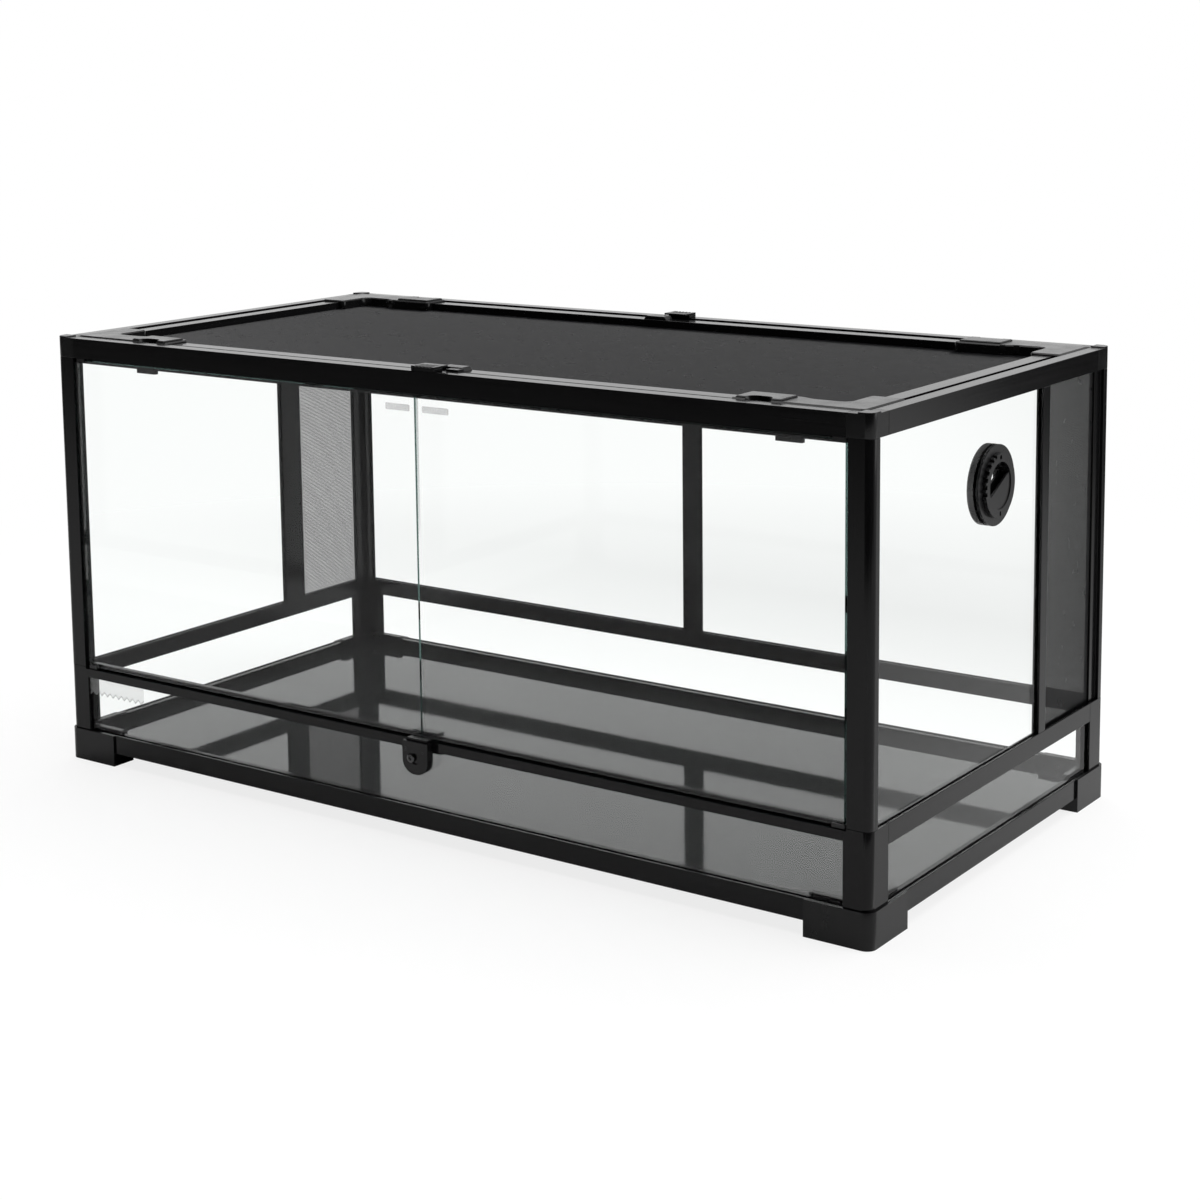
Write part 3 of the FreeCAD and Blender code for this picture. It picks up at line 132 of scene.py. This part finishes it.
# %% [markdown]
# ## Black coated rails
# The rails and posts are drawn metal with a thin satin coat. Up close the coat shows faint lines
# along the draw and a fine orange-peel. An anisotropic shader could stretch the highlights, but it
# draws no lines. So a noise, squeezed across the rail and stretched along it, gives the lines, and
# a second, even noise gives the peel. Three copies of the finish follow the three directions in
# which rails run, so the lines always lie lengthways.

# %% Coated rail finish
RAIL_DARK = (0.0026, 0.0026, 0.0028)
RAIL_LIGHT = (0.0048, 0.0047, 0.005)
ALONG_X = (0.02, 1, 1)
ALONG_Y = (1, 0.02, 1)
ALONG_Z = (1, 1, 0.02)
BUMP_DEEP = 0.3 * MM


def add_bump(tree, shader, height, strength):
    """Lets a height socket roughen the surface."""
    bump = add_node(tree, "ShaderNodeBump", [("Height", height)], Strength=strength,
                    Distance=BUMP_DEEP)
    tree.links.new(bump.outputs["Normal"], shader.inputs["Normal"])


def coated_rail(name, stretch):
    """Satin black with faint lines along one direction."""
    material, tree, shader = new_finish(name)
    lines = object_noise(tree, scale=420, stretch=stretch)
    peel = object_noise(tree, scale=1400, detail=2.0)
    tint = two_tones(tree, lines, RAIL_DARK, RAIL_LIGHT, start=0.3, end=0.75)
    tree.links.new(tint, shader.inputs["Base Color"])
    tree.links.new(map_range(tree, lines, low=0.13, high=0.2), shader.inputs["Roughness"])
    shader.inputs["Specular IOR Level"].default_value = 0.12
    shader.inputs["Coat Weight"].default_value = 0.15
    shader.inputs["Coat Roughness"].default_value = 0.08
    shader.inputs["Coat IOR"].default_value = 1.3
    add_bump(tree, shader, peel, strength=0.03)
    return material


paint(["base_rail_front", "base_rail_back", "middle_rail_back", "door_sill", "top_rail_front",
       "top_rail_back", "screen_bars_long"], coated_rail("coated_rail_wide", ALONG_X))
paint(["base_rail_left", "base_rail_right", "middle_rail_left", "middle_rail_right",
       "top_rail_left", "top_rail_right", "screen_bars_short"],
      coated_rail("coated_rail_deep", ALONG_Y))
paint([name for name in nodes if "post" in name or name == "vent_bars"],
      coated_rail("coated_post", ALONG_Z))


# %% [markdown]
# ## Black mouldings
# Feet, corner pieces, latches and the lock are moulded plastic with a fine spark-eroded grain. The
# grain could be pressed into the mesh, but it is far too small to show in an outline, so a small
# noise in the bump does it. A larger noise lets the sheen wander a little, as it does on big flat
# mouldings. The same recipe with less grain and more shine serves for the screw.

# %% Moulded plastic finish
def moulding(name, dark, light, rough, grain, level):
    """A grained black whose tint and sheen wander a little."""
    material, tree, shader = new_finish(name)
    cloud = object_noise(tree, scale=38)
    spark = object_noise(tree, scale=2600, detail=1.0)
    tint = two_tones(tree, cloud, (dark, dark, dark * 1.06), (light, light, light * 1.06),
                     start=0.35, end=0.7)
    tree.links.new(tint, shader.inputs["Base Color"])
    sheen = map_range(tree, cloud, low=rough - 0.05, high=rough + 0.07)
    tree.links.new(sheen, shader.inputs["Roughness"])
    shader.inputs["Specular IOR Level"].default_value = level
    add_bump(tree, shader, spark, strength=grain)
    return material


grained = moulding("grained_moulding", dark=0.0034, light=0.0062, rough=0.22, grain=0.07, level=0.2)
satin = moulding("satin_moulding", dark=0.005, light=0.009, rough=0.28, grain=0.08, level=0.28)
black_steel = moulding("black_steel", dark=0.003, light=0.006, rough=0.14, grain=0.02, level=0.55)
CORNERS = ("corner_foot", "top_corner", "screen_corner")
paint([name for name in nodes if name.startswith(CORNERS)], grained)
paint(["screen_keepers", "latch_slider_front", "latch_slider_back", "latch_plate_front",
       "latch_plate_back", "lock_plate", "lock_clamp", "lock_tongue"], grained)
paint(["port_flange", "port_nut", "port_shutter", "door_pivots_left", "door_pivots_right"], satin)

# %% [markdown]
# ## Softer edges
# A solid model ends in knife edges, but coated metal and mouldings catch the light on small
# rounded ones. A bevel node in the shader would only pretend, so the geometry is rounded. The
# loaded meshes must stay as they are, so modifiers do it and leave the mesh itself alone: a weld, a
# merge of the triangles that lie in one plane, and a narrow bevel. Without the merge the bevel is
# held back by the shortest triangle side and rounds next to nothing.

# %% Edge rounding on rails and mouldings
EDGE = 0.45 * MM
FINE_EDGE = 0.25 * MM
WELD_REACH = 0.002 * MM
ONE_PLANE = math.radians(0.5)
SHARP_ANGLE = math.radians(50)
LEFT_SHARP = ("pane", "mesh", "port", "pivots")
rounded = [name for name in nodes if not any(word in name for word in LEFT_SHARP)]
for name in rounded:
    obj = nodes[name]
    weld = obj.modifiers.new("weld", "WELD")
    weld.merge_threshold = WELD_REACH
    flat = obj.modifiers.new("flat", "DECIMATE")
    flat.decimate_type = "DISSOLVE"
    flat.angle_limit = ONE_PLANE
    edge = obj.modifiers.new("edge", "BEVEL")
    edge.width = FINE_EDGE if name == "lock_plate" else EDGE
    edge.segments = 2
    edge.limit_method = "ANGLE"
    edge.angle_limit = SHARP_ANGLE
    edge.use_clamp_overlap = True
    edge.harden_normals = True
print("edges of", len(rounded), "nodes rounded by up to", EDGE / MM, "mm")

# %% [markdown]
# ## Clear panes
# Float glass is nearly colourless through its face and clearly green through its edge, because
# there the eye looks along the sheet. Absorption in the volume would give that too, at the price of
# much noise. The pane is a real slab, so refraction comes for free, and the green is mixed in where
# the surface no longer faces the way the pane does. The index is set below that of real glass, so
# that the panes stay as free of reflections as through a polarising filter.

# %% Glass finish
PANE_INDEX = 1.18
EDGE_GREEN = (0.008, 0.02, 0.017)
FACE_CLEAR = (0.985, 0.995, 0.99)


def coordinates(tree, kind):
    """The vector socket of one kind of coordinates, and its three axes."""
    coords = add_node(tree, "ShaderNodeTexCoord")
    split = add_node(tree, "ShaderNodeSeparateXYZ", [("Vector", coords.outputs[kind])])
    return coords.outputs[kind], split.outputs


def clear_pane(name, across):
    """Glass that is clear where it faces along one axis and green on its edges."""
    material, tree, shader = new_finish(name)
    facing = coordinates(tree, "Normal")[1]
    face_on = add_node(tree, "ShaderNodeMath", [(0, facing[across])], operation="ABSOLUTE")
    tint = two_tones(tree, face_on.outputs[0], EDGE_GREEN, FACE_CLEAR, start=0.2, end=0.8)
    tree.links.new(tint, shader.inputs["Base Color"])
    smear = object_noise(tree, scale=9, detail=6.0)
    haze = map_range(tree, smear, low=0.0, high=0.012, start=0.5, end=0.8)
    tree.links.new(haze, shader.inputs["Roughness"])
    shader.inputs["Transmission Weight"].default_value = 1.0
    shader.inputs["IOR"].default_value = PANE_INDEX
    return material


paint(["lower_pane_front", "lower_pane_back", "upper_panes_back", "door_pane_left",
       "door_pane_right"], clear_pane("clear_pane_wide", "Y"))
paint(["lower_panes_side", "upper_pane_left", "upper_pane_right"],
      clear_pane("clear_pane_deep", "X"))

# %% [markdown]
# ## Floor panel
# The floor is a dark board with a smooth skin: almost black from above, bright where it mirrors
# the back of the studio at a flat angle. A metal mirror would be as bright from above, so it is a
# dark plastic, whose mirror image grows with the angle by itself. Faint clouds in the roughness
# blur that image a little.

# %% Floor board finish
BOARD_DARK = (0.011, 0.012, 0.012)
BOARD_LIGHT = (0.017, 0.018, 0.018)
board, tree, shader = new_finish("floor_board")
cloud = object_noise(tree, scale=5, detail=5.0)
tree.links.new(two_tones(tree, cloud, BOARD_DARK, BOARD_LIGHT), shader.inputs["Base Color"])
tree.links.new(map_range(tree, cloud, low=0.03, high=0.07), shader.inputs["Roughness"])
shader.inputs["Specular IOR Level"].default_value = 0.4
paint(["floor_panel"], board)

# %% [markdown]
# ## Wire
# The top and the vents are fly screen of black wire, sixteen to the inch in both directions. Where
# a wire dips under its neighbour it lies in shade. Bending every wire would show that, but takes
# millions of faces, so a checker at the pitch of the weave darkens every other crossing. A fine
# noise lets the sheen wander as on handled wire.

# %% Wire finish
WIRE_PITCH = 25.4 / 16 * MM
wire, tree, shader = new_finish("black_wire")
coords = add_node(tree, "ShaderNodeTexCoord")
weave = add_node(tree, "ShaderNodeTexChecker", [("Vector", coords.outputs["Object"])],
                 Scale=1 / WIRE_PITCH)
weave.inputs["Color1"].default_value = (0.004, 0.004, 0.0045, 1)
weave.inputs["Color2"].default_value = (0.01, 0.01, 0.011, 1)
tree.links.new(weave.outputs["Color"], shader.inputs["Base Color"])
worn = object_noise(tree, scale=60)
tree.links.new(map_range(tree, worn, low=0.26, high=0.36), shader.inputs["Roughness"])
shader.inputs["Specular IOR Level"].default_value = 0.3
print("wire at a pitch of", round(WIRE_PITCH / MM, 2), "mm")


# %% [markdown]
# ## From a bmesh to a piece
# What is added to the tank has to move with it: the cloth lifts with the top, a label swings with
# its door. Parents set by hand could do that; here one helper makes the object, gives it a finish
# and lets it ride on a body. Objects stay at the origin and carry their place in the mesh, just as
# the loaded nodes do.

# %% Helper for new pieces
def new_piece(name, bm, body, material):
    """Makes an object of a bmesh, gives it a finish and lets it ride on a body."""
    mesh = bpy.data.meshes.new(name)
    bm.to_mesh(mesh)
    bm.free()
    piece = bpy.data.objects.new(name, mesh)
    bpy.context.scene.collection.objects.link(piece)
    mesh.materials.append(material)
    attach(piece, body)
    print(name, "on", body, "with", len(mesh.polygons), "faces")
    return piece


print("helper for new pieces ready")

# %% [markdown]
# ## Woven sheets
# On the tank each cloth is held in slots of its frame. A flat face with a see-through picture of
# wire would be lighter, but it looks like paper from the side. So the wires are real: each is a
# slim six-sided rod, and rods side by side in two layers give the cloth its see-through look
# without a thousand bends. The sheets take the place of the thin plates that stand for them in the
# solids.

# %% Woven sheets in place of the thin plates
SHEET_THICK = 0.8 * MM
WIRE_ROUND = 0.58 * MM
WIRE_SIDES = 6
LAYER_SHARE = 0.3


def lay_wires(bm, low, high, along, across, level_axis, level):
    """Rods along one axis, spaced over another, at one level of the third."""
    length = high[along] - low[along]
    count = int((high[across] - low[across]) / WIRE_PITCH)
    first = (low[across] + high[across] - (count - 1) * WIRE_PITCH) / 2
    direction = Vector([1.0 if axis == along else 0.0 for axis in range(3)])
    turn = Vector((0, 0, 1)).rotation_difference(direction).to_matrix().to_4x4()
    for step in range(count):
        place = [0.0, 0.0, 0.0]
        place[along] = (low[along] + high[along]) / 2
        place[across] = first + step * WIRE_PITCH
        place[level_axis] = level
        bmesh.ops.create_cone(bm, cap_ends=True, segments=WIRE_SIDES, radius1=WIRE_ROUND / 2,
                              radius2=WIRE_ROUND / 2, depth=length,
                              matrix=Matrix.Translation(place) @ turn)


def woven_sheet(bm, low, high, level_axis):
    """Two layers of wires, one in each direction of the sheet."""
    one, two = [axis for axis in range(3) if axis != level_axis]
    middle = (low[level_axis] + high[level_axis]) / 2
    step = WIRE_ROUND * LAYER_SHARE
    lay_wires(bm, low, high, one, two, level_axis, middle - step)
    lay_wires(bm, low, high, two, one, level_axis, middle + step)


bm = bmesh.new()
low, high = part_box("screen_mesh")
woven_sheet(bm, low, high, 2)
top_cloth = new_piece("woven_top", bm, "screen_top", wire)
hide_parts("screen_mesh")

bm = bmesh.new()
low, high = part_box("vent_meshes")
for left, right in ((low[0], low[0] + SHEET_THICK), (high[0] - SHEET_THICK, high[0])):
    woven_sheet(bm, (left, low[1], low[2]), (right, high[1], high[2]), 0)
vent_cloth = new_piece("woven_vents", bm, "cabinet", wire)
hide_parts("vent_meshes")

# %% [markdown]
# ## Screw of the door lock
# The lock plate is held by one black machine screw with a cross recess. A boolean could cut the
# cross into a disc, but it leaves slivers. A grid of three by three faces has the cross in it
# already: the middle row and column are pushed in, the four corners stay proud, and the outer rim
# is pulled out to a circle and drawn down to the plate.

# %% Cross-recess screw
SCREW_PLACE = (-4.5 * MM, 79.8 * MM)
SCREW_ROUND = 4.2 * MM
SCREW_TALL = 1.3 * MM
SCREW_SUNK = 0.2 * MM
FLAT_SHARE = 0.72
SHOULDER_SHARE = 0.35
RECESS_HALF = 2.0 * MM
RECESS_DEEP = 0.9 * MM
NEAR_AXIS = 0.1 * MM
UPRIGHT = Matrix.Rotation(math.radians(90), 4, "X")


def open_edges(bm):
    """The edges with a face on one side only."""
    return [edge for edge in bm.edges if edge.is_boundary]


def verts_of(geometry):
    """The vertices among what a bmesh operator returns."""
    return [item for item in geometry if isinstance(item, bmesh.types.BMVert)]


bm = bmesh.new()
bmesh.ops.create_grid(bm, x_segments=3, y_segments=3, size=RECESS_HALF)
bmesh.ops.subdivide_edges(bm, edges=open_edges(bm), cuts=1)
for reach, drop in ((FLAT_SHARE, 0.0), (1.0, SHOULDER_SHARE), (1.0, 1.0)):
    for vert in verts_of(bmesh.ops.extrude_edge_only(bm, edges=open_edges(bm))["geom"]):
        outward = (vert.co * Vector((1, 1, 0))).normalized()
        vert.co = outward * SCREW_ROUND * reach - Vector((0, 0, drop * SCREW_TALL))
cross = []
for face in bm.faces:
    middle = face.calc_center_median()
    if min(abs(middle.x), abs(middle.y)) < NEAR_AXIS and middle.length < 0.85 * RECESS_HALF:
        cross.append(face)
sunk = verts_of(bmesh.ops.extrude_face_region(bm, geom=cross)["geom"])
bmesh.ops.translate(bm, verts=sunk, vec=(0, 0, -RECESS_DEEP))
bmesh.ops.delete(bm, geom=cross, context="FACES")
bmesh.ops.recalc_face_normals(bm, faces=bm.faces)
plate_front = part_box("lock_plate")[0][1]
seat = Matrix.Translation((SCREW_PLACE[0], plate_front - SCREW_TALL + SCREW_SUNK, SCREW_PLACE[1]))
bmesh.ops.transform(bm, verts=bm.verts, matrix=seat @ UPRIGHT)
new_piece("lock_screw", bm, "cabinet", black_steel)

# %% [markdown]
# ## Label paper
# Each door carries a small paper label beside the meeting edge. A plain white face would do from
# afar, but thin paper on glass lets some of the background through. So a fibre noise sets both
# the tint and how much light passes.

# %% Paper finish for the labels
paper, tree, shader = new_finish("label_paper")
fibre = object_noise(tree, scale=700, detail=5.0)
tint = two_tones(tree, fibre, (0.72, 0.72, 0.73), (0.86, 0.86, 0.86))
tree.links.new(tint, shader.inputs["Base Color"])
tree.links.new(map_range(tree, fibre, low=0.3, high=0.42), shader.inputs["Alpha"])
shader.inputs["Roughness"].default_value = 0.6
print("paper ready")

# %% [markdown]
# ## Frosted film
# A frosted strip with a zigzag line along its foot lies on the low front pane. The film ends at
# the line and is clear below it. Teeth cut into the mesh would need dozens of slim faces, so the
# material draws them: a ping-pong of the x coordinate makes the teeth, and the height above them
# decides between clear, line and frost.

# %% Frosted film finish
STRIP_LOW = 69.0 * MM
TOOTH = 4.0 * MM
LINE_HALF = 0.45 * MM


def combine(tree, operation, first, second):
    """One output socket made of two by a Math node."""
    node = add_node(tree, "ShaderNodeMath", [(0, first), (1, second)], operation=operation)
    return node.outputs[0]


frosted, tree, shader = new_finish("frosted_strip")
haze = object_noise(tree, scale=1600, detail=3.0)
axes = coordinates(tree, "Object")[1]
zigzag = add_node(tree, "ShaderNodeMath", [(0, axes["X"])], operation="PINGPONG")
zigzag.inputs[1].default_value = TOOTH
tooth = combine(tree, "SUBTRACT", axes["Z"], zigzag.outputs[0])
line = add_node(tree, "ShaderNodeMath", [(0, tooth)], operation="COMPARE")
line.inputs[1].default_value = STRIP_LOW
line.inputs[2].default_value = LINE_HALF
mark = add_node(tree, "ShaderNodeMix", [("Factor", line.outputs[0])], data_type="RGBA")
tree.links.new(two_tones(tree, haze, (0.74, 0.75, 0.75), (0.9, 0.9, 0.9)), mark.inputs[6])
mark.inputs[7].default_value = (0.25, 0.26, 0.26, 1)
tree.links.new(mark.outputs[2], shader.inputs["Base Color"])
frost = add_node(tree, "ShaderNodeMath", [(0, tooth)], operation="GREATER_THAN")
frost.inputs[1].default_value = STRIP_LOW - LINE_HALF
film = map_range(tree, frost.outputs[0], low=0.0, high=0.14, start=0.0, end=1.0)
inked = map_range(tree, line.outputs[0], low=0.0, high=0.7, start=0.0, end=1.0)
tree.links.new(combine(tree, "MAXIMUM", film, inked), shader.inputs["Alpha"])
shader.inputs["Roughness"].default_value = 0.55
print("frosted film with teeth of", TOOTH / MM, "mm ready")


# %% [markdown]
# ## Stickers
# On the tank a sticker is rubbed onto the dry glass. It could be painted into the glass finish,
# but then it would have no edge and no thickness. So it is a sheet a tenth of a millimetre thick:
# one face is scaled to size, its corners are rounded, and it is drawn out and turned upright
# against the outside of its pane. The labels ride on the doors and swing with them.

# %% Labels and frosted strip
STICKER_THICK = 0.1 * MM
STICKER_CORNER = 1.2 * MM
STICKER_LIFT = 0.02 * MM


def sticker(name, body, material, low, high, front):
    """A thin sheet on the outer face of a pane, from a low to a high corner (x, z)."""
    bm = bmesh.new()
    bmesh.ops.create_grid(bm, x_segments=1, y_segments=1, size=0.5)
    bmesh.ops.scale(bm, vec=(high[0] - low[0], high[1] - low[1], 1), verts=bm.verts)
    bmesh.ops.bevel(bm, geom=list(bm.verts), offset=STICKER_CORNER, segments=4, profile=0.5,
                    affect="VERTICES", material=-1)
    lifted = verts_of(bmesh.ops.extrude_face_region(bm, geom=list(bm.faces))["geom"])
    bmesh.ops.translate(bm, verts=lifted, vec=(0, 0, STICKER_THICK))
    bmesh.ops.recalc_face_normals(bm, faces=bm.faces)
    middle = ((low[0] + high[0]) / 2, front - STICKER_LIFT, (low[1] + high[1]) / 2)
    bmesh.ops.transform(bm, verts=bm.verts, matrix=Matrix.Translation(middle) @ UPRIGHT)
    new_piece(name, bm, body, material)


door_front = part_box("door_pane_left")[0][1]
pane_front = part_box("lower_pane_front")[0][1]
sticker("door_label_left", "door_left", paper, (-0.034, 0.393), (-0.006, 0.399), door_front)
sticker("door_label_right", "door_right", paper, (0.008, 0.393), (0.038, 0.399), door_front)
sticker("water_line_strip", "cabinet", frosted, (-0.437, 0.0685), (-0.356, 0.086), pane_front)

# %% [markdown]
# ## Studio floor
# A catalogue picture is taken on a wide sheet of pale paper that is curved up behind the object. The
# curve could be modelled, but it would stand in the way of views from behind. So the floor is one
# flat face, wide enough to reach the horizon from every side. It belongs to the stage and not to
# the tank.

# %% Paper floor
FLOOR_HALF = 30
bm = bmesh.new()
bmesh.ops.create_grid(bm, x_segments=1, y_segments=1, size=FLOOR_HALF)
mesh = bpy.data.meshes.new("studio_floor")
bm.to_mesh(mesh)
bm.free()
floor = bpy.data.objects.new("studio_floor", mesh)
bpy.context.scene.collection.objects.link(floor)
print("paper floor,", 2 * FLOOR_HALF, "m wide")

# %% [markdown]
# ## Finish of the paper
# More lamps could burn the paper out to white, but they would grey the black rails too. So the
# finish asks what kind of ray looks at it. Seen by the camera or through glass it is white, a
# little less so close to the tank, where its shadow stays. In mirror images it is white behind on
# the right, and dark in front and behind on the left, as if black flags lay there, so that the
# rails stay black.

# %% Paper finish for the floor
TO_THE_RIGHT = (0.82, -0.57, 0)


def seen_directly(tree):
    """The light path's outputs, and a socket that is 1 for the camera and through glass."""
    path = add_node(tree, "ShaderNodeLightPath").outputs
    return path, combine(tree, "MAXIMUM", path["Is Camera Ray"], path["Is Transmission Ray"])


pale, tree, shader = new_finish("studio_paper")
shader.inputs["Base Color"].default_value = (0.88, 0.88, 0.88, 1)
shader.inputs["Roughness"].default_value = 0.9
shader.inputs["Specular IOR Level"].default_value = 0.1
glow = add_node(tree, "ShaderNodeEmission", Strength=1.0)
shade = add_node(tree, "ShaderNodeBsdfDiffuse", Color=(0.05, 0.05, 0.05, 1))
place, axes = coordinates(tree, "Object")
away = add_node(tree, "ShaderNodeVectorMath", [("Vector", place)], operation="LENGTH")
aside = add_node(tree, "ShaderNodeVectorMath", [(0, place)], operation="DOT_PRODUCT")
aside.inputs[1].default_value = TO_THE_RIGHT
fade = map_range(tree, away.outputs["Value"], low=0.82, high=1.0, start=0.6, end=1.5)
on_right = map_range(tree, aside.outputs["Value"], low=0.0, high=1.0, start=-0.1, end=0.2)
behind = map_range(tree, axes["Y"], low=0.0, high=1.0, start=-0.6, end=0.2)
flag_front = map_range(tree, axes["Y"], low=1.0, high=0.0, start=-2.6, end=-1.2)
flag_back = map_range(tree, axes["Y"], low=0.0, high=1.0, start=0.3, end=0.8)
path, clear = seen_directly(tree)
glossy = path["Is Glossy Ray"]
mirrored = combine(tree, "MULTIPLY", glossy, combine(tree, "MULTIPLY", on_right, behind))
white = combine(tree, "MULTIPLY", combine(tree, "MAXIMUM", clear, mirrored), fade)
dark = combine(tree, "MULTIPLY", glossy, combine(tree, "MAXIMUM", flag_front, flag_back))
flagged = add_node(tree, "ShaderNodeMixShader",
                   [(0, dark), (1, shader.outputs[0]), (2, shade.outputs[0])])
sheet = add_node(tree, "ShaderNodeMixShader",
                 [(0, white), (1, flagged.outputs[0]), (2, glow.outputs[0])])
tree.links.new(sheet.outputs[0], tree.nodes["Material Output"].inputs["Surface"])
floor.data.materials.append(pale)
print("floor finished with", pale.name)

# %% [markdown]
# ## Surround
# Behind the paper a studio has white walls, and the side of the camera is dark. Walls could be
# modelled, but they would throw shadows and stand in the way of other views. So the world does it:
# white for the camera and through glass, and for all other rays white behind the tank and dim in
# front of it, which keeps the front of the rails black.

# %% White surround
world = bpy.data.worlds.new("white_surround")
bpy.context.scene.world = world
world.use_nodes = True
tree = world.node_tree
axes = coordinates(tree, "Generated")[1]
behind = map_range(tree, axes["Y"], low=0.05, high=1.0, start=-0.35, end=0.25)
clear = seen_directly(tree)[1]
background = tree.nodes["Background"]
tree.links.new(combine(tree, "MAXIMUM", clear, behind), background.inputs["Strength"])
background.inputs["Color"].default_value = (1, 1, 1, 1)
print("surround", world.name)


# %% [markdown]
# ## Lamps
# Glossy black shows every lamp as a hot spot, so product studios light it through wide sheets of
# cloth. A sun would be simpler, but its edges are hard. Two area lamps stand in for the cloth: a
# wide one overhead, and a smaller one on the right that brightens the side rails.

# %% Soft lamps
TANK_MIDDLE = (0, 0, 0.2)


def soft_lamp(name, place, size, power):
    """A rectangular area lamp that faces the tank."""
    lamp = bpy.data.lights.new(name, "AREA")
    lamp.shape = "RECTANGLE"
    lamp.size, lamp.size_y = size
    lamp.energy = power
    obj = bpy.data.objects.new(name, lamp)
    obj.location = place
    aim = Vector(TANK_MIDDLE) - Vector(place)
    obj.rotation_euler = aim.to_track_quat("-Z", "Y").to_euler()
    bpy.context.scene.collection.objects.link(obj)
    print("lamp", name, power, "W")


soft_lamp("overhead", place=(0.0, 0.2, 2.2), size=(3.0, 2.2), power=60)
soft_lamp("right_side", place=(2.6, 0.8, 1.3), size=(1.6, 1.6), power=24)

# %% [markdown]
# ## Camera
# The tank is seen from the front right and a little from above. A camera could be turned by eye
# until it looks right. This one was fitted to the corners of the frame instead, which gave its
# place, its angles and its lens; a small shift brings the tank to the middle of the picture.

# %% Catalogue camera
CAMERA_PLACE = (1.2887, -1.7666, 0.7178)
CAMERA_AZIMUTH = math.radians(35.24)
CAMERA_PITCH = math.radians(7.97)
CAMERA_ROLL = math.radians(-0.61)
forward = Vector((-math.sin(CAMERA_AZIMUTH) * math.cos(CAMERA_PITCH),
                  math.cos(CAMERA_AZIMUTH) * math.cos(CAMERA_PITCH), -math.sin(CAMERA_PITCH)))
level = Vector((math.cos(CAMERA_AZIMUTH), math.sin(CAMERA_AZIMUTH), 0))
above = level.cross(forward)
right = level * math.cos(CAMERA_ROLL) + above * math.sin(CAMERA_ROLL)
up = above * math.cos(CAMERA_ROLL) - level * math.sin(CAMERA_ROLL)
turn = Matrix((right, up, -forward)).transposed().to_4x4()
camera_data = bpy.data.cameras.new("catalogue_camera")
camera_data.lens = 69.07
camera_data.sensor_width = 36
camera_data.shift_y = -0.2
camera_data.clip_end = 100
camera = bpy.data.objects.new("catalogue_camera", camera_data)
camera.matrix_world = Matrix.Translation(CAMERA_PLACE) @ turn
bpy.context.scene.collection.objects.link(camera)
bpy.context.scene.camera = camera
bpy.context.scene.view_settings.view_transform = "Standard"
print("camera at", CAMERA_PLACE)
